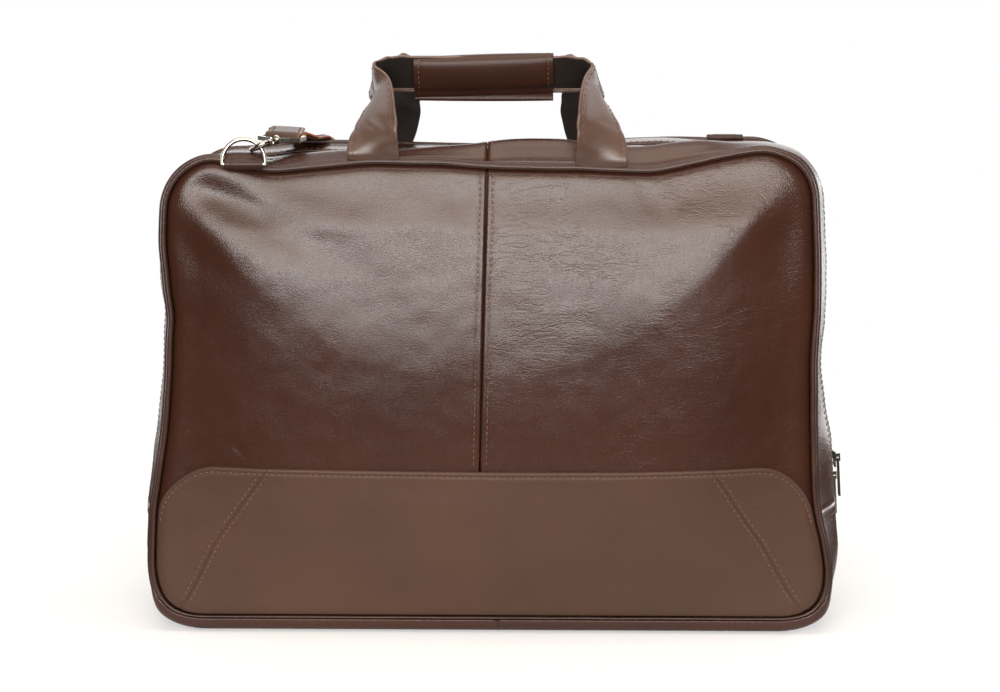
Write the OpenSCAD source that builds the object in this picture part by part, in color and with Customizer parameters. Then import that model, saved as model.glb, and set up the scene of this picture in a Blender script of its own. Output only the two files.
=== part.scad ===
// Soft leather laptop briefcase with two zipped compartments, two carrying handles and a shoulder strap.
// The front faces -Y, up is +Z, and the origin is the centre of the base on the floor.
// Two covers fold about the seam above the front and rear lower panels when their zips are open.

/* [Body] */
// Width over the piping at the base
body_w = 459; // [409:5:489]
// How much narrower each side is at the top
taper = 15; // [4:0.5:20]
// Height over the piping of the front panel
body_h = 322; // [288:2:348]
// Depth over the front and rear piping
body_d = 110; // [100:2:140]
// Radius of the panel's corners in front view
corner_r = 38; // [30:1:50]
// Height of the front panel's lower edge above the floor
base_lift = 16; // [11:1:19]
// Depth of the rounded edge between a panel and the flat base
base_round = 16; // [12:1:22]
// Sag of the top edge at its middle
top_sag = 4; // [0:0.5:8]
// How far the side gusset bulges at mid depth
side_bulge = 8.5; // [0:0.5:14]
// How far the top gusset rises at mid depth
top_rise = 4; // [0:0.5:8]
// How far the front and rear panels swell at their middle
pillow = 9; // [0:0.5:14]
// Height of the seam that the covers fold about
seam_z = 116; // [104:1:136]
// Height where the sewn lower gusset ends and the zips begin
gusset_top = 84; // [74:1:92]

/* [Leather and lining] */
// Thickness of the leather
leather_t = 2; // [1.2:0.1:2.6]
// Thickness of the foam and lining behind a panel
lining_t = 3; // [2:0.5:5]
// Radius of the piping cord
piping_r = 2.6; // [2:0.1:3.2]
// Gap between soft pieces that lie on each other
soft_gap = 0.3; // [0.2:0.05:0.5]
// Thickness of the padded divider
divider_t = 6; // [4:0.5:8]
// Thickness of the stiff board in the base
board_t = 2.5; // [1.5:0.5:4]

/* [Lower overlay] */
// Half width of the overlay's straight top edge
overlay_half_w = 183; // [172:1:192]
// Height where the overlay's rounded corner meets the piping
overlay_side_z = 77; // [68:1:88]
// Half distance between the diagonal seams at their upper ends
diagonal_top_x = 146; // [130:1:160]
// Half distance between the diagonal seams at their lower ends
diagonal_low_x = 201; // [180:1:205]
// Height of the lower ends of the diagonal seams
diagonal_low_z = 39; // [32:1:48]

/* [Zips] */
// Width of the strip between the two zips
centre_strip_w = 10; // [8:1:16]
// Width of a closed zip between the leather strips
zip_w = 20; // [16:1:24]
// Thickness of the zip tape
tape_t = 0.8; // [0.6:0.1:1]
// Width of one row of teeth
teeth_w = 1.2; // [1:0.1:1.6]
// Thickness of the teeth
teeth_t = 2; // [1.6:0.1:2.4]
// Gap between the two rows of teeth
teeth_gap = 0.9; // [0.8:0.1:1.2]
// Length of a slider
slider_l = 11; // [9:0.5:14]
// Width of a slider
slider_w = 8; // [6:0.5:9]
// Length of a pull tab
pull_l = 26; // [18:1:32]
// Height of the front slider's middle when closed
front_slider_z = 112; // [104:1:114]
// Height of the rear slider's middle when closed
rear_slider_z = 92; // [91:1:98]

/* [Handles] */
// Distance from the middle to the centre of a handle's leg
leg_x = 74; // [66:1:84]
// Width of a handle strap
strap_w = 33; // [28:1:38]
// Thickness of a handle strap
strap_t = 3; // [2.4:0.1:3.6]
// Rise of a handle's arch above its seam
handle_rise = 51; // [46:1:58]
// Length of a padded grip
grip_l = 92; // [86:1:100]
// Width of a grip's flattened section
grip_w = 34; // [31:1:38]
// Thickness of a grip's flattened section
grip_t = 12; // [10:0.5:14]

/* [Shoulder strap fittings] */
// Distance from the start of a top corner's curve to the centre of a ring tab
tab_in = 17.5; // [12:0.5:25]
// Width of a leather ring tab
tab_w = 24; // [20:1:26]
// Thickness of a leather ring tab
tab_t = 1.6; // [1.2:0.1:2]
// Radius of the ring wire
wire_r = 1.4; // [1.2:0.1:1.8]
// Length of the ring's straight legs
ring_leg = 2.5; // [2:0.5:6]
// Lean of the front ring from upright towards the rear
front_ring_lean = 14; // [8:1:15]
// Lean of the hanging rear ring away from the rear panel
rear_ring_lean = 30; // [26:1:36]
// Middle radius of a hook's bow
hook_r = 7.5; // [6.8:0.1:8]
// Radius of a hook's wire
hook_wire_r = 1.7; // [1.4:0.1:1.8]
// Width of the shoulder strap
web_w = 25; // [22:1:28]
// Thickness of the shoulder strap
web_t = 2.4; // [1.8:0.1:2.8]

/* [Hidden] */

leather = "#5c4034";
dark_leather = "#4a3128";
lining_grey = "#4b4a48";
brass_tape = "#8c5532";
nickel = "#d8d6d0";

// Centre line of the piping in front view: two arc centres and the slope of the side between them
edge_r = corner_r - piping_r;
low_arc = [body_w / 2 - corner_r, base_lift + corner_r];
high_arc = [body_w / 2 - taper - corner_r, body_h - corner_r];
tab_x = high_arc[0] - tab_in;
side_tilt = atan2(taper, high_arc[1] - low_arc[1]);
top_z = body_h - piping_r;
arc_steps = 7;
top_steps = 6;

// Depth layout, given for the front and mirrored for the rear
piping_y = body_d / 2 - piping_r;
strip_y = piping_y - piping_r - soft_gap;
zip_outer_y = centre_strip_w / 2 + zip_w;
zip_y = centre_strip_w / 2 + zip_w / 2;
panel_y = body_d / 2 - 1;
panel_inset = piping_r + soft_gap;
hinge_y = panel_y + pillow + leather_t + soft_gap + 0.5;

function sag(x) = top_sag * (0.5 + 0.5 * cos(180 * min(1, abs(x) / high_arc[0])));
function side_share(z) =
    (z - low_arc[1] - edge_r * sin(side_tilt)) / (high_arc[1] - low_arc[1]);
function side_x(z) = low_arc[0] - taper * side_share(z) + edge_r * cos(side_tilt);
function side_station(z) = [side_x(z), z, cos(side_tilt), sin(side_tilt)];
function arc_station(centre, angle) =
    [centre[0] + edge_r * cos(angle), centre[1] + edge_r * sin(angle), cos(angle), sin(angle)];
function top_station(x) = [x, top_z - sag(x), 0, 1];

// Stations of the right half of the outline, from the base's middle up to the top's middle
function low_stations(x_start, z_end) = concat(
    [[x_start, base_lift + piping_r, 0, -1]],
    [for (i = [0:arc_steps]) arc_station(low_arc, -90 + (90 + side_tilt) * i / arc_steps)],
    [side_station(z_end)]);
function high_stations(z_start, x_end) = concat(
    [side_station(z_start), side_station((z_start + high_arc[1]) / 2)],
    [for (i = [0:arc_steps]) arc_station(high_arc, side_tilt + (90 - side_tilt) * i / arc_steps)],
    [for (i = [top_steps - 1:-1:1]) top_station(x_end + (high_arc[0] - x_end) * i / top_steps)],
    [top_station(x_end)]);

// How far the gusset stands out of the piping line at depth y, for an outward normal
function arch(y) = 1 - pow(2 * y / body_d, 2);
function base_share(y) =
    let (u = max(0, abs(y) - (body_d / 2 - base_round)) / base_round) sqrt(max(0, 1 - u * u));
function swell(y, nx, nz) = side_bulge * nx * nx * arch(y)
    + (nz < 0 ? (base_lift + piping_r) * nz * nz * base_share(y) : top_rise * nz * nz * arch(y));

// Joins rings of points, each counter-clockwise seen from the far end, into one closed solid
module skin(rings) {
    n = len(rings[0]);
    last = len(rings) - 1;
    points = [for (ring = rings, p = ring) p];
    sides = [for (i = [0:last - 1], k = [0:n - 1])
        let (a = i * n + k, b = i * n + (k + 1) % n)
        each [[a, a + n, b + n], [a, b + n, b]]];
    // Each cap is a row of thin triangles between the ring's first half and its second
    first_cap = [for (k = [0:n / 2 - 2]) each [[k, k + 1, n - 2 - k], [k, n - 2 - k, n - 1 - k]]];
    last_cap = [for (f = first_cap) [for (k = [2:-1:0]) last * n + f[k]]];
    polyhedron(points, concat(first_cap, sides, last_cap), convexity = 6);
}

// Sweeps a section of [depth, offset] points along stations of the outline
module band(stations, section) {
    skin([for (s = stations) [for (p = section)
        let (d = swell(p[0], s[2], s[3]) + p[1]) [s[0] + s[2] * d, p[0], s[1] + s[3] * d]]]);
}

// Section of a leather strip between two depths
function strip_section(y0, y1, outer, inner, steps) = concat(
    [for (i = [0:steps]) [y0 + (y1 - y0) * i / steps, outer]],
    [for (i = [steps:-1:0]) [y0 + (y1 - y0) * i / steps, inner]]);

// Section of a round cord on the piping line
function cord_section(y, r) = [for (k = [0:7]) [y + r * sin(45 * k), r * cos(45 * k)]];

module cord_band(stations, y, r) {
    skin([for (s = stations) [for (p = cord_section(y, r))
        [s[0] + s[2] * p[1], p[0], s[1] + s[3] * p[1]]]]);
}

// Half width of the panel at height z, inside the piping
function half_width(z, inset) =
    let (r = edge_r - inset)
    z < low_arc[1] ? low_arc[0] + sqrt(max(0, r * r - pow(low_arc[1] - z, 2)))
    : z > high_arc[1] ? high_arc[0] + sqrt(max(0, r * r - pow(z - high_arc[1], 2)))
    : side_x(z) - inset;

function pillow_at(x, z) =
    let (mid = (base_lift + body_h) / 2, half = (body_h - base_lift) / 2)
    pillow * max(0, 1 - pow(2 * x / body_w, 4)) * max(0, 1 - pow((z - mid) / half, 2));
panel_top = body_h - piping_r - panel_inset;
function drop_at(x, z) = z > seam_z ? sag(x) * pow(min(1, (z - seam_z) / (panel_top - seam_z)), 2) : 0;

// A swollen sheet over rows of [z, x0, x1], its outer face at the given distance from the middle plane
module sheet(rows, columns, face, thick) {
    skin([for (row = rows) concat(
        [for (i = [0:columns]) sheet_point(row, i / columns, face)],
        [for (i = [columns:-1:0]) sheet_point(row, i / columns, face - thick)])]);
}
function sheet_point(row, share, face) =
    let (x = row[1] + (row[2] - row[1]) * share)
    [x, -face - pillow_at(x, row[0]), row[0] - drop_at(x, row[0])];

// Heights of sheet rows above and below the fold seam
function high_rows(inset, z_start) = concat(
    [z_start, z_start + (high_arc[1] - z_start) / 3, z_start + (high_arc[1] - z_start) * 2 / 3],
    [for (i = [0:5]) high_arc[1] + (edge_r - inset) * sin(18 * i)]);
function low_rows(inset, z_end) = concat(
    [for (i = [5:-1:0]) low_arc[1] - (edge_r - inset) * sin(18 * i)],
    [(low_arc[1] + z_end) / 2, z_end]);

// A flat strap swept along points, each with the direction of its width
function unit(v) = v / norm(v);
module ribbon(points, directions, w, t) {
    n = len(points);
    skin([for (i = [0:n - 1])
        let (along = unit(points[min(i + 1, n - 1)] - points[max(i - 1, 0)]),
             wide = unit(directions[i] - along * (directions[i] * along)),
             up = cross(along, wide),
             a = wide * (is_list(w) ? w[i] : w) / 2,
             b = up * t / 2)
        [points[i] - a - b, points[i] + a - b, points[i] + a + b, points[i] - a + b]]);
}

module left() { mirror([1, 0, 0]) children(); }
module rear() { mirror([0, 1, 0]) children(); }
module turned() { rotate([0, 0, 180]) children(); }

// Lower gusset: one leather piece on each side of the base's middle seam
module gusset_half() {
    y = strip_y;
    flat = body_d / 2 - base_round;
    depths = [-y, -y + (y - flat) / 2, -flat, -flat / 3, flat / 3, flat, y - (y - flat) / 2, y];
    section = concat([for (d = depths) [d, 0]], [for (i = [7:-1:0]) [depths[i], -leather_t]]);
    band(low_stations(0, gusset_top), section);
}
module lower_gusset_left() { color(leather) left() gusset_half(); }
module lower_gusset_right() { color(leather) gusset_half(); }

// Lower ends of the front and rear strips, between the lower gusset and the fold seam
module strip_foot() {
    stations = [side_station(gusset_top + soft_gap), side_station(seam_z)];
    band(stations, strip_section(-strip_y, -zip_outer_y, 0, -leather_t, 4));
}
module strip_feet() {
    color(leather) {
        strip_foot();
        left() strip_foot();
        rear() strip_foot();
        turned() strip_foot();
    }
}

// Lower front and rear panels, fixed to the base
module lower_panel() {
    rows = [for (z = low_rows(panel_inset, seam_z)) let (x = half_width(z, panel_inset)) [z, -x, x]];
    sheet(rows, 10, panel_y, leather_t);
}
module front_lower_panel() { color(dark_leather) lower_panel(); }
module rear_lower_panel() { color(leather) rear() lower_panel(); }

// Overlay on the lower front, in three pieces that meet at diagonal seams
function overlay_x(z) =
    let (u = max(0, (z - overlay_side_z) / (seam_z - overlay_side_z)))
    u == 0 ? half_width(z, panel_inset)
    : overlay_half_w + (half_width(overlay_side_z, panel_inset) - overlay_half_w) * sqrt(1 - u * u);
function diagonal_x(z) = min(half_width(z, panel_inset),
    diagonal_low_x + (diagonal_top_x - diagonal_low_x) * (z - diagonal_low_z) / (seam_z - diagonal_low_z));
overlay_face = panel_y + soft_gap + leather_t;
overlay_rows = concat(low_rows(panel_inset, overlay_side_z),
    [for (i = [1:5]) overlay_side_z + (seam_z - overlay_side_z) * sin(18 * i)]);

module overlay_centre() {
    color(leather) sheet([for (z = overlay_rows) [z, -diagonal_x(z) + 0.2, diagonal_x(z) - 0.2]],
        8, overlay_face, leather_t);
}
module overlay_corner() {
    rows = [for (z = overlay_rows)
        if (overlay_x(z) > diagonal_x(z) + 1) [z, diagonal_x(z) + 0.2, overlay_x(z)]];
    sheet(rows, 3, overlay_face, leather_t);
}
module overlay_corner_left() { color(leather) left() overlay_corner(); }
module overlay_corner_right() { color(leather) overlay_corner(); }

// Piping below the fold seam runs round the base, and above it round the top
function flipped(s) = [-s[0], s[1], -s[2], s[3]];
function mirrored(stations) = [for (i = [len(stations) - 1:-1:0]) flipped(stations[i])];
function round_the_top(z_start) =
    let (half = high_stations(z_start, 0))
    concat(half, [for (i = [len(half) - 2:-1:0]) flipped(half[i])]);
module piping_lower() {
    half = low_stations(low_arc[0] / 2, seam_z);
    cord_band(concat(mirrored(half), half), -piping_y, piping_r);
}
module piping_upper() {
    cord_band(round_the_top(seam_z + soft_gap), -piping_y, piping_r);
}
module front_piping_lower() { color(dark_leather) piping_lower(); }
module rear_piping_lower() { color(dark_leather) rear() piping_lower(); }
module front_piping_upper() { color(dark_leather) piping_upper(); }
module rear_piping_upper() { color(dark_leather) rear() piping_upper(); }

// Stiff board on the inside of the base
board_z = leather_t + soft_gap;
board_half_w = low_arc[0] - 4;
board_half_d = body_d / 2 - base_round;
module bottom_board() {
    color(lining_grey) translate([-board_half_w, -board_half_d, board_z])
        cube([2 * board_half_w, 2 * board_half_d, board_t]);
}

// Padded divider between the compartments, inside the centre strip
divider_inset = leather_t + soft_gap;
module divider_outline() {
    low = board_z + board_t + soft_gap;
    half = concat(
        [[board_half_w, low]],
        [for (s = low_stations(0, gusset_top)) if (s[1] > low_arc[1] - edge_r / 2)
            [s[0] - divider_inset, s[1]]],
        [for (s = high_stations(seam_z, 0)) [s[0] - s[2] * divider_inset, s[1] - s[3] * divider_inset]]);
    polygon(concat(half, [for (i = [len(half) - 2:-1:0]) [-half[i][0], half[i][1]]]));
}
module divider_panel() {
    color(lining_grey) translate([0, divider_t / 2, 0]) rotate([90, 0, 0])
        linear_extrude(divider_t) divider_outline();
}

// Padded laptop sleeve on the rear face of the divider, open at the top
sleeve_half_w = 196;
sleeve_h = 240;
sleeve_gap = 28;
sleeve_pad_t = 4;
module laptop_sleeve() {
    floor_z = board_z + board_t + soft_gap;
    front_y = divider_t / 2 + soft_gap;
    color(lining_grey) difference() {
        translate([-sleeve_half_w, front_y, floor_z])
            cube([2 * sleeve_half_w, sleeve_gap + sleeve_pad_t, sleeve_h]);
        translate([-sleeve_half_w + sleeve_pad_t, front_y - 1, floor_z + sleeve_pad_t])
            cube([2 * (sleeve_half_w - sleeve_pad_t), sleeve_gap + 1, sleeve_h]);
    }
}

// Leather strip between the two zips, in two halves that meet at the top's middle
module centre_half() {
    band(high_stations(gusset_top + soft_gap, 0.15),
        strip_section(-centre_strip_w / 2, centre_strip_w / 2, 0, -leather_t, 2));
}
module centre_strip_left() { color(leather) left() centre_half(); }
module centre_strip_right() { color(leather) centre_half(); }

// Front and rear strips from the fold seam up to the top's middle
module strip_half() {
    band(high_stations(seam_z + soft_gap, 0.15), strip_section(-strip_y, -zip_outer_y, 0, -leather_t, 4));
}
module front_strip_left() { color(leather) left() strip_half(); }
module front_strip_right() { color(leather) strip_half(); }
module rear_strip_left() { color(leather) turned() strip_half(); }
module rear_strip_right() { color(leather) rear() strip_half(); }

// Zip tape and teeth, on the line midway between a strip and the centre strip
tape_top = -leather_t / 2 + tape_t / 2;
teeth_inner_y = zip_y - teeth_gap / 2;
teeth_outer_y = zip_y + teeth_gap / 2;
// The tape's edge lies against the edges of the leather and of the teeth
tape_edge = 0.1;
function tape_section(y0, y1) = strip_section(y0, y1, tape_top, tape_top - tape_t, 2);
function teeth_section(y0, y1) =
    strip_section(y0, y1, tape_top + (teeth_t - tape_t) / 2, tape_top - (teeth_t + tape_t) / 2, 1);
inner_tape = tape_section(-teeth_inner_y + teeth_w + tape_edge, -centre_strip_w / 2 - tape_edge);
outer_tape = tape_section(-zip_outer_y + tape_edge, -teeth_outer_y - teeth_w - tape_edge);
inner_teeth = teeth_section(-teeth_inner_y, -teeth_inner_y + teeth_w);
outer_teeth = teeth_section(-teeth_outer_y - teeth_w, -teeth_outer_y);

module lower_pair(section) {
    stations = [side_station(gusset_top + soft_gap), side_station(seam_z)];
    band(stations, section);
    left() band(stations, section);
}
module root_tape() {
    band(round_the_top(gusset_top + soft_gap), inner_tape);
    lower_pair(outer_tape);
}
module root_teeth() {
    band(round_the_top(gusset_top + soft_gap), inner_teeth);
    lower_pair(outer_teeth);
}
module front_inner_tape() { color(brass_tape) root_tape(); }
module rear_inner_tape() { color(brass_tape) rear() root_tape(); }
module front_inner_teeth() { color(brass_tape) root_teeth(); }
module rear_inner_teeth() { color(brass_tape) rear() root_teeth(); }
module front_outer_tape() { color(brass_tape) band(round_the_top(seam_z + soft_gap), outer_tape); }
module rear_outer_tape() { color(brass_tape) rear() band(round_the_top(seam_z + soft_gap), outer_tape); }
module front_outer_teeth() { color(brass_tape) band(round_the_top(seam_z + soft_gap), outer_teeth); }
module rear_outer_teeth() { color(brass_tape) rear() band(round_the_top(seam_z + soft_gap), outer_teeth); }

// Upper front panel in two halves, upper rear panel in one piece, and their linings.
// The lining hangs a little behind the leather and is sewn to it round the edge.
module front_half() {
    rows = [for (z = high_rows(panel_inset, seam_z + soft_gap)) [z, 0.2, half_width(z, panel_inset)]];
    sheet(rows, top_steps, panel_y, leather_t);
}
module whole_upper(face, inset, thick) {
    rows = [for (z = high_rows(inset, seam_z + soft_gap)) let (x = half_width(z, inset)) [z, -x, x]];
    sheet(rows, 2 * top_steps, face, thick);
}
lining_gap = 0.9;
lining_face = panel_y - leather_t - lining_gap;
lining_inset = panel_inset + 3;
module front_panel_left() { color(leather) left() front_half(); }
module front_panel_right() { color(leather) front_half(); }
module rear_panel() { color(leather) rear() whole_upper(panel_y, panel_inset, leather_t); }
module front_lining() { color(lining_grey) whole_upper(lining_face, lining_inset, lining_t); }
module rear_lining() { color(lining_grey) rear() whole_upper(lining_face, lining_inset, lining_t); }

// Handles: each strap is sewn at the top seam, twists on its way up and runs through a padded grip
seam_top = top_z - sag(leg_x);
pivot_y = piping_y + 1.5;
pivot_z = seam_top + 5.2;
seam_slope = sag(leg_x) - sag(leg_x + strap_w / 2);
end_roll_r = norm([pivot_y - piping_y, pivot_z - seam_top]) - piping_r - soft_gap - seam_slope;
grip_y = 11;
grip_axis = unit([0, -0.57, 0.82]);
// Height of the grip within the handle's rise, and the width that the strap is pleated to inside it
grip_share = 0.905;
strap_in_w = 26;

// Right half of a strap's route, with the direction of the strap's width; shift bends the legs inwards
function leg_points(shift, drop) =
    let (z = pivot_z, r = handle_rise - drop, y = pivot_y, f = grip_y)
    [[leg_x, -y, z], [leg_x + 0.5, -y + 0.6, z + 0.16 * r], [leg_x - 0.6 - shift, -y + 4, z + 0.36 * r],
     [leg_x - 2.6 - shift, -y + 11, z + 0.58 * r], [leg_x - 5 - shift / 2, -y + 20, z + 0.77 * r],
     [leg_x - 8, -y + 29, z + 0.92 * r], [leg_x - 12.5, -f - 7, z + r],
     [grip_l / 2 + 10, -f - 3, z + 0.97 * r], [grip_l / 2 + 5, -f - 0.5, z + grip_share * r + 0.5],
     [grip_l / 2 - 6, -f, z + grip_share * r]];
leg_widths = [[-1, 0, 0], [-1, -0.04, 0], [-0.96, -0.28, 0], [-0.8, -0.6, 0.1], [-0.55, -0.8, 0.2],
    [-0.28, -0.88, 0.35], [-0.06, -0.8, 0.58], [0, -0.68, 0.73], grip_axis, grip_axis];
leg_spans = [for (i = [0:9]) strap_w - (i < 6 ? 0 : i < 8 ? (i - 5) * 2 : strap_w - strap_in_w)];
function flip(list) = [for (i = [len(list) - 1:-1:0]) [-list[i][0], list[i][1], list[i][2]]];

module handle_strap(shift, drop) {
    right = leg_points(shift, drop);
    ribbon(concat(right, flip(right)), concat(leg_widths, flip(leg_widths)),
        concat(leg_spans, [for (i = [9:-1:0]) leg_spans[i]]), strap_t);
    for (side = [-1, 1])
        translate([side * leg_x - strap_w / 2, -pivot_y, pivot_z])
            rotate([0, 90, 0]) cylinder(h = strap_w, r = end_roll_r, $fn = 48);
}

// A flattened sleeve whose ends are a little thicker than its middle, round the strap
function grip_ring(x, drop, scale_t) =
    let (z = pivot_z + grip_share * (handle_rise - drop), up = cross([1, 0, 0], grip_axis))
    [for (k = [0:15]) [x, -grip_y, z] + grip_axis * (grip_w / 2) * cos(22.5 * k)
        + up * (grip_t / 2) * scale_t * sin(22.5 * k)];
module grip(drop) {
    z = pivot_z + grip_share * (handle_rise - drop);
    difference() {
        skin([for (i = [-4:4]) grip_ring(i * grip_l / 8, drop, 0.92 + 0.08 * pow(i / 4, 2))]);
        ribbon([for (x = [-1, 1]) [x * (grip_l / 2 + 1), -grip_y, z]], [grip_axis, grip_axis],
            strap_in_w + 6 * soft_gap, strap_t + 3 * soft_gap);
    }
}
front_drop = 0;
rear_drop = 7;
module front_handle_strap() { color(leather) handle_strap(0, front_drop); }
module rear_handle_strap() { color(leather) rear() handle_strap(4, rear_drop); }
module front_grip() { color(leather) grip(front_drop); }
module rear_grip() { color(dark_leather) rear() grip(rear_drop); }

// Zip sliders ride on the right side, with a post between the rows of teeth
plate_gap = teeth_t / 2 + soft_gap;
plate_t = 1.2;
function zip_face() = swell(-zip_y, cos(side_tilt), sin(side_tilt)) - leather_t / 2;
module on_side(z, y) {
    translate([side_x(z) + cos(side_tilt) * zip_face(), y, z + sin(side_tilt) * zip_face()])
        rotate([0, -side_tilt, 0]) children();
}
pivot_out = plate_gap + plate_t + 1.7;
module slider() {
    for (level = [plate_gap, -plate_gap - plate_t])
        translate([level, -slider_w / 2, -slider_l / 2]) cube([plate_t, slider_w, slider_l]);
    translate([-plate_gap - 0.1, -0.3, 0]) cube([2 * plate_gap + 0.2, 0.6, slider_l / 2]);
    // Bridge that carries the pull tab
    difference() {
        translate([plate_gap + plate_t - 0.1, -1.5, -2]) cube([3.4, 3, slider_l / 2]);
        translate([pivot_out, -3, 0]) rotate([-90, 0, 0]) cylinder(h = 6, r = 0.9, $fn = 32);
    }
}
module pull() {
    translate([pivot_out, 0, 0]) {
        rotate([90, 0, 0]) cylinder(h = 5.2, r = 0.7, center = true, $fn = 32);
        for (side = [-1, 1]) translate([-0.7, side * 2.3 - 0.5, -3.8]) cube([1.4, 1, 4.4]);
        difference() {
            translate([-0.7, -2.8, -pull_l]) cube([1.4, 5.6, pull_l - 3.6]);
            translate([-1, -1.3, -pull_l + 2.5]) cube([2, 2.6, 8]);
        }
    }
}
module front_slider() { color(nickel) on_side(front_slider_z, -zip_y) slider(); }
module rear_slider() { color(nickel) on_side(rear_slider_z, zip_y) slider(); }
module front_pull() { color(nickel) on_side(front_slider_z, -zip_y) pull(); }
module rear_pull() { color(nickel) on_side(rear_slider_z, zip_y) pull(); }

// Ring tab: a leather loop that folds over the piping and holds the ring's bar
tab_top = top_z - sag(tab_x);
tab_in_r = piping_r + soft_gap;
tab_loop_in = wire_r + 0.4;
tab_loop_out = tab_loop_in + tab_t;
tab_reach = tab_in_r + tab_loop_out + 0.4;
tab_angle = 200;
bar_y = -piping_y + tab_reach * cos(tab_angle);
bar_z = tab_top + tab_reach * sin(tab_angle);
// The tab's end stays above the top strip that it is sewn to
tab_lift = 1.4;
module tab_profile() {
    difference() {
        circle(r = tab_in_r + tab_t, $fn = 64);
        circle(r = tab_in_r, $fn = 64);
        translate([-20, -40]) square([20.01, 40]);
        translate([0, -40]) square([20, 40 + tab_lift]);
    }
    difference() {
        union() {
            translate([bar_y + piping_y, bar_z - tab_top]) circle(r = tab_loop_out, $fn = 64);
            translate([-tab_in_r - tab_t, -2.5]) square([tab_t, 2.55]);
        }
        translate([bar_y + piping_y, bar_z - tab_top]) circle(r = tab_loop_in, $fn = 64);
        circle(r = tab_in_r, $fn = 64);
    }
}
module ring_tab() {
    translate([-tab_x + tab_w / 2, -piping_y, tab_top])
        rotate([90, 0, -90]) mirror([1, 0, 0]) linear_extrude(tab_w) tab_profile();
}
module front_ring_tab() { color(leather) ring_tab(); }
module rear_ring_tab() { color(leather) turned() ring_tab(); }

// D ring in its own frame: bar along X at the origin, bow towards +Z
ring_half_w = tab_w / 2 + 0.4 + wire_r;
module d_ring() {
    rotate([0, 90, 0]) cylinder(h = 2 * ring_half_w, r = wire_r, center = true, $fn = 32);
    for (side = [-1, 1]) translate([side * ring_half_w, 0, 0]) {
        cylinder(h = ring_leg, r = wire_r, $fn = 32);
        sphere(r = wire_r, $fn = 32);
    }
    translate([0, 0, ring_leg]) rotate([90, 0, 0])
        rotate_extrude(angle = 180, $fn = 64) translate([ring_half_w, 0]) circle(r = wire_r, $fn = 24);
}
module at_front_bar() { translate([-tab_x, bar_y, bar_z]) rotate([-front_ring_lean, 0, 0]) children(); }
module at_rear_bar() { translate([tab_x, -bar_y, bar_z]) rotate([180 + rear_ring_lean, 0, 0]) children(); }
module front_ring() { color(nickel) at_front_bar() d_ring(); }
module rear_ring() { color(nickel) at_rear_bar() d_ring(); }

// Snap hook in its own frame: bow centred on the origin, shank along +Y, gate on the +X side
shank_l = 8;
shank_r = 2.3;
neck_r = 1.2;
eye_y = hook_r + shank_l + 1.2;
tip_angle = -30;
gate_angle = 52;
gate_r = 1.2;
gate_pivot = [hook_r * cos(gate_angle), hook_r * sin(gate_angle)];
gate_tip = [hook_r * cos(tip_angle), hook_r * sin(tip_angle)];
gate_dir = atan2(gate_tip[1] - gate_pivot[1], gate_tip[0] - gate_pivot[0]);
gate_l = norm(gate_tip - gate_pivot) - hook_wire_r - soft_gap;
module hook() {
    difference() {
        union() {
            rotate([0, 0, 85]) rotate_extrude(angle = 245, $fn = 64)
                translate([hook_r, 0]) circle(r = hook_wire_r, $fn = 24);
            rotate([0, 0, gate_angle]) rotate_extrude(angle = 40, $fn = 64)
                translate([hook_r, 0]) circle(r = hook_wire_r, $fn = 24);
            translate([0, hook_r - 0.5, 0]) rotate([-90, 0, 0]) cylinder(h = shank_l + 0.5, r = shank_r, $fn = 32);
            translate([gate_pivot[0], gate_pivot[1], 0])
                cylinder(h = 2 * hook_wire_r + 0.6, r = 2.1, center = true, $fn = 32);
        }
        // Slot that the gate turns in
        translate([gate_pivot[0], gate_pivot[1], 0]) rotate([0, 0, gate_dir])
            translate([-1.9, -gate_r - 1.4, -gate_r - soft_gap])
            cube([12, 2 * gate_r + 1.7, 2 * gate_r + 2 * soft_gap]);
    }
    translate([gate_pivot[0], gate_pivot[1], 0])
        cylinder(h = 2 * hook_wire_r + 0.4, r = 0.5, center = true, $fn = 24);
    // Neck and rivet head that the eye turns on
    translate([0, hook_r + shank_l - 0.1, 0]) rotate([-90, 0, 0]) cylinder(h = 3.2, r = neck_r, $fn = 32);
    translate([0, hook_r + shank_l + 3, 0]) rotate([-90, 0, 0]) cylinder(h = 1.4, r = 2, $fn = 32);
}
module hook_gate() {
    translate([gate_pivot[0], gate_pivot[1], 0]) difference() {
        union() {
            cylinder(h = 2 * gate_r, r = 1.5, center = true, $fn = 32);
            rotate([0, 0, gate_dir]) rotate([0, 90, 0]) cylinder(h = gate_l, r = gate_r, $fn = 32);
        }
        cylinder(h = 10, r = 0.56, center = true, $fn = 24);
    }
}
// Eye that turns on the neck, with a bar for the strap
eye_half_w = web_w / 2 + 0.8 + 1.5;
eye_bar_y = eye_y + 11;
eye_wire_r = 1.2;
eye_arm_w = 2.4;
eye_plate_t = 2.8;
module eye_arm() {
    inner_x = eye_half_w - eye_arm_w / 2;
    outer_x = eye_half_w + eye_arm_w / 2;
    end_y = eye_bar_y + 1.8;
    polygon([[2, eye_y - 0.4], [outer_x, eye_y + 4.2], [outer_x, end_y], [inner_x, end_y],
        [inner_x, eye_y + 5.6], [2, eye_y + 1.6]]);
}
module eye() {
    difference() {
        union() {
            translate([0, eye_y - 0.9, 0]) rotate([-90, 0, 0]) cylinder(h = 2.6, r = 3, $fn = 32);
            linear_extrude(eye_plate_t, center = true) {
                eye_arm();
                mirror([1, 0]) eye_arm();
            }
        }
        translate([0, eye_y - 2, 0]) rotate([-90, 0, 0]) cylinder(h = 6, r = neck_r + 0.08, $fn = 32);
    }
    translate([0, eye_bar_y, 0]) rotate([0, 90, 0])
        cylinder(h = 2 * eye_half_w, r = eye_wire_r, center = true, $fn = 32);
}
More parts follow.
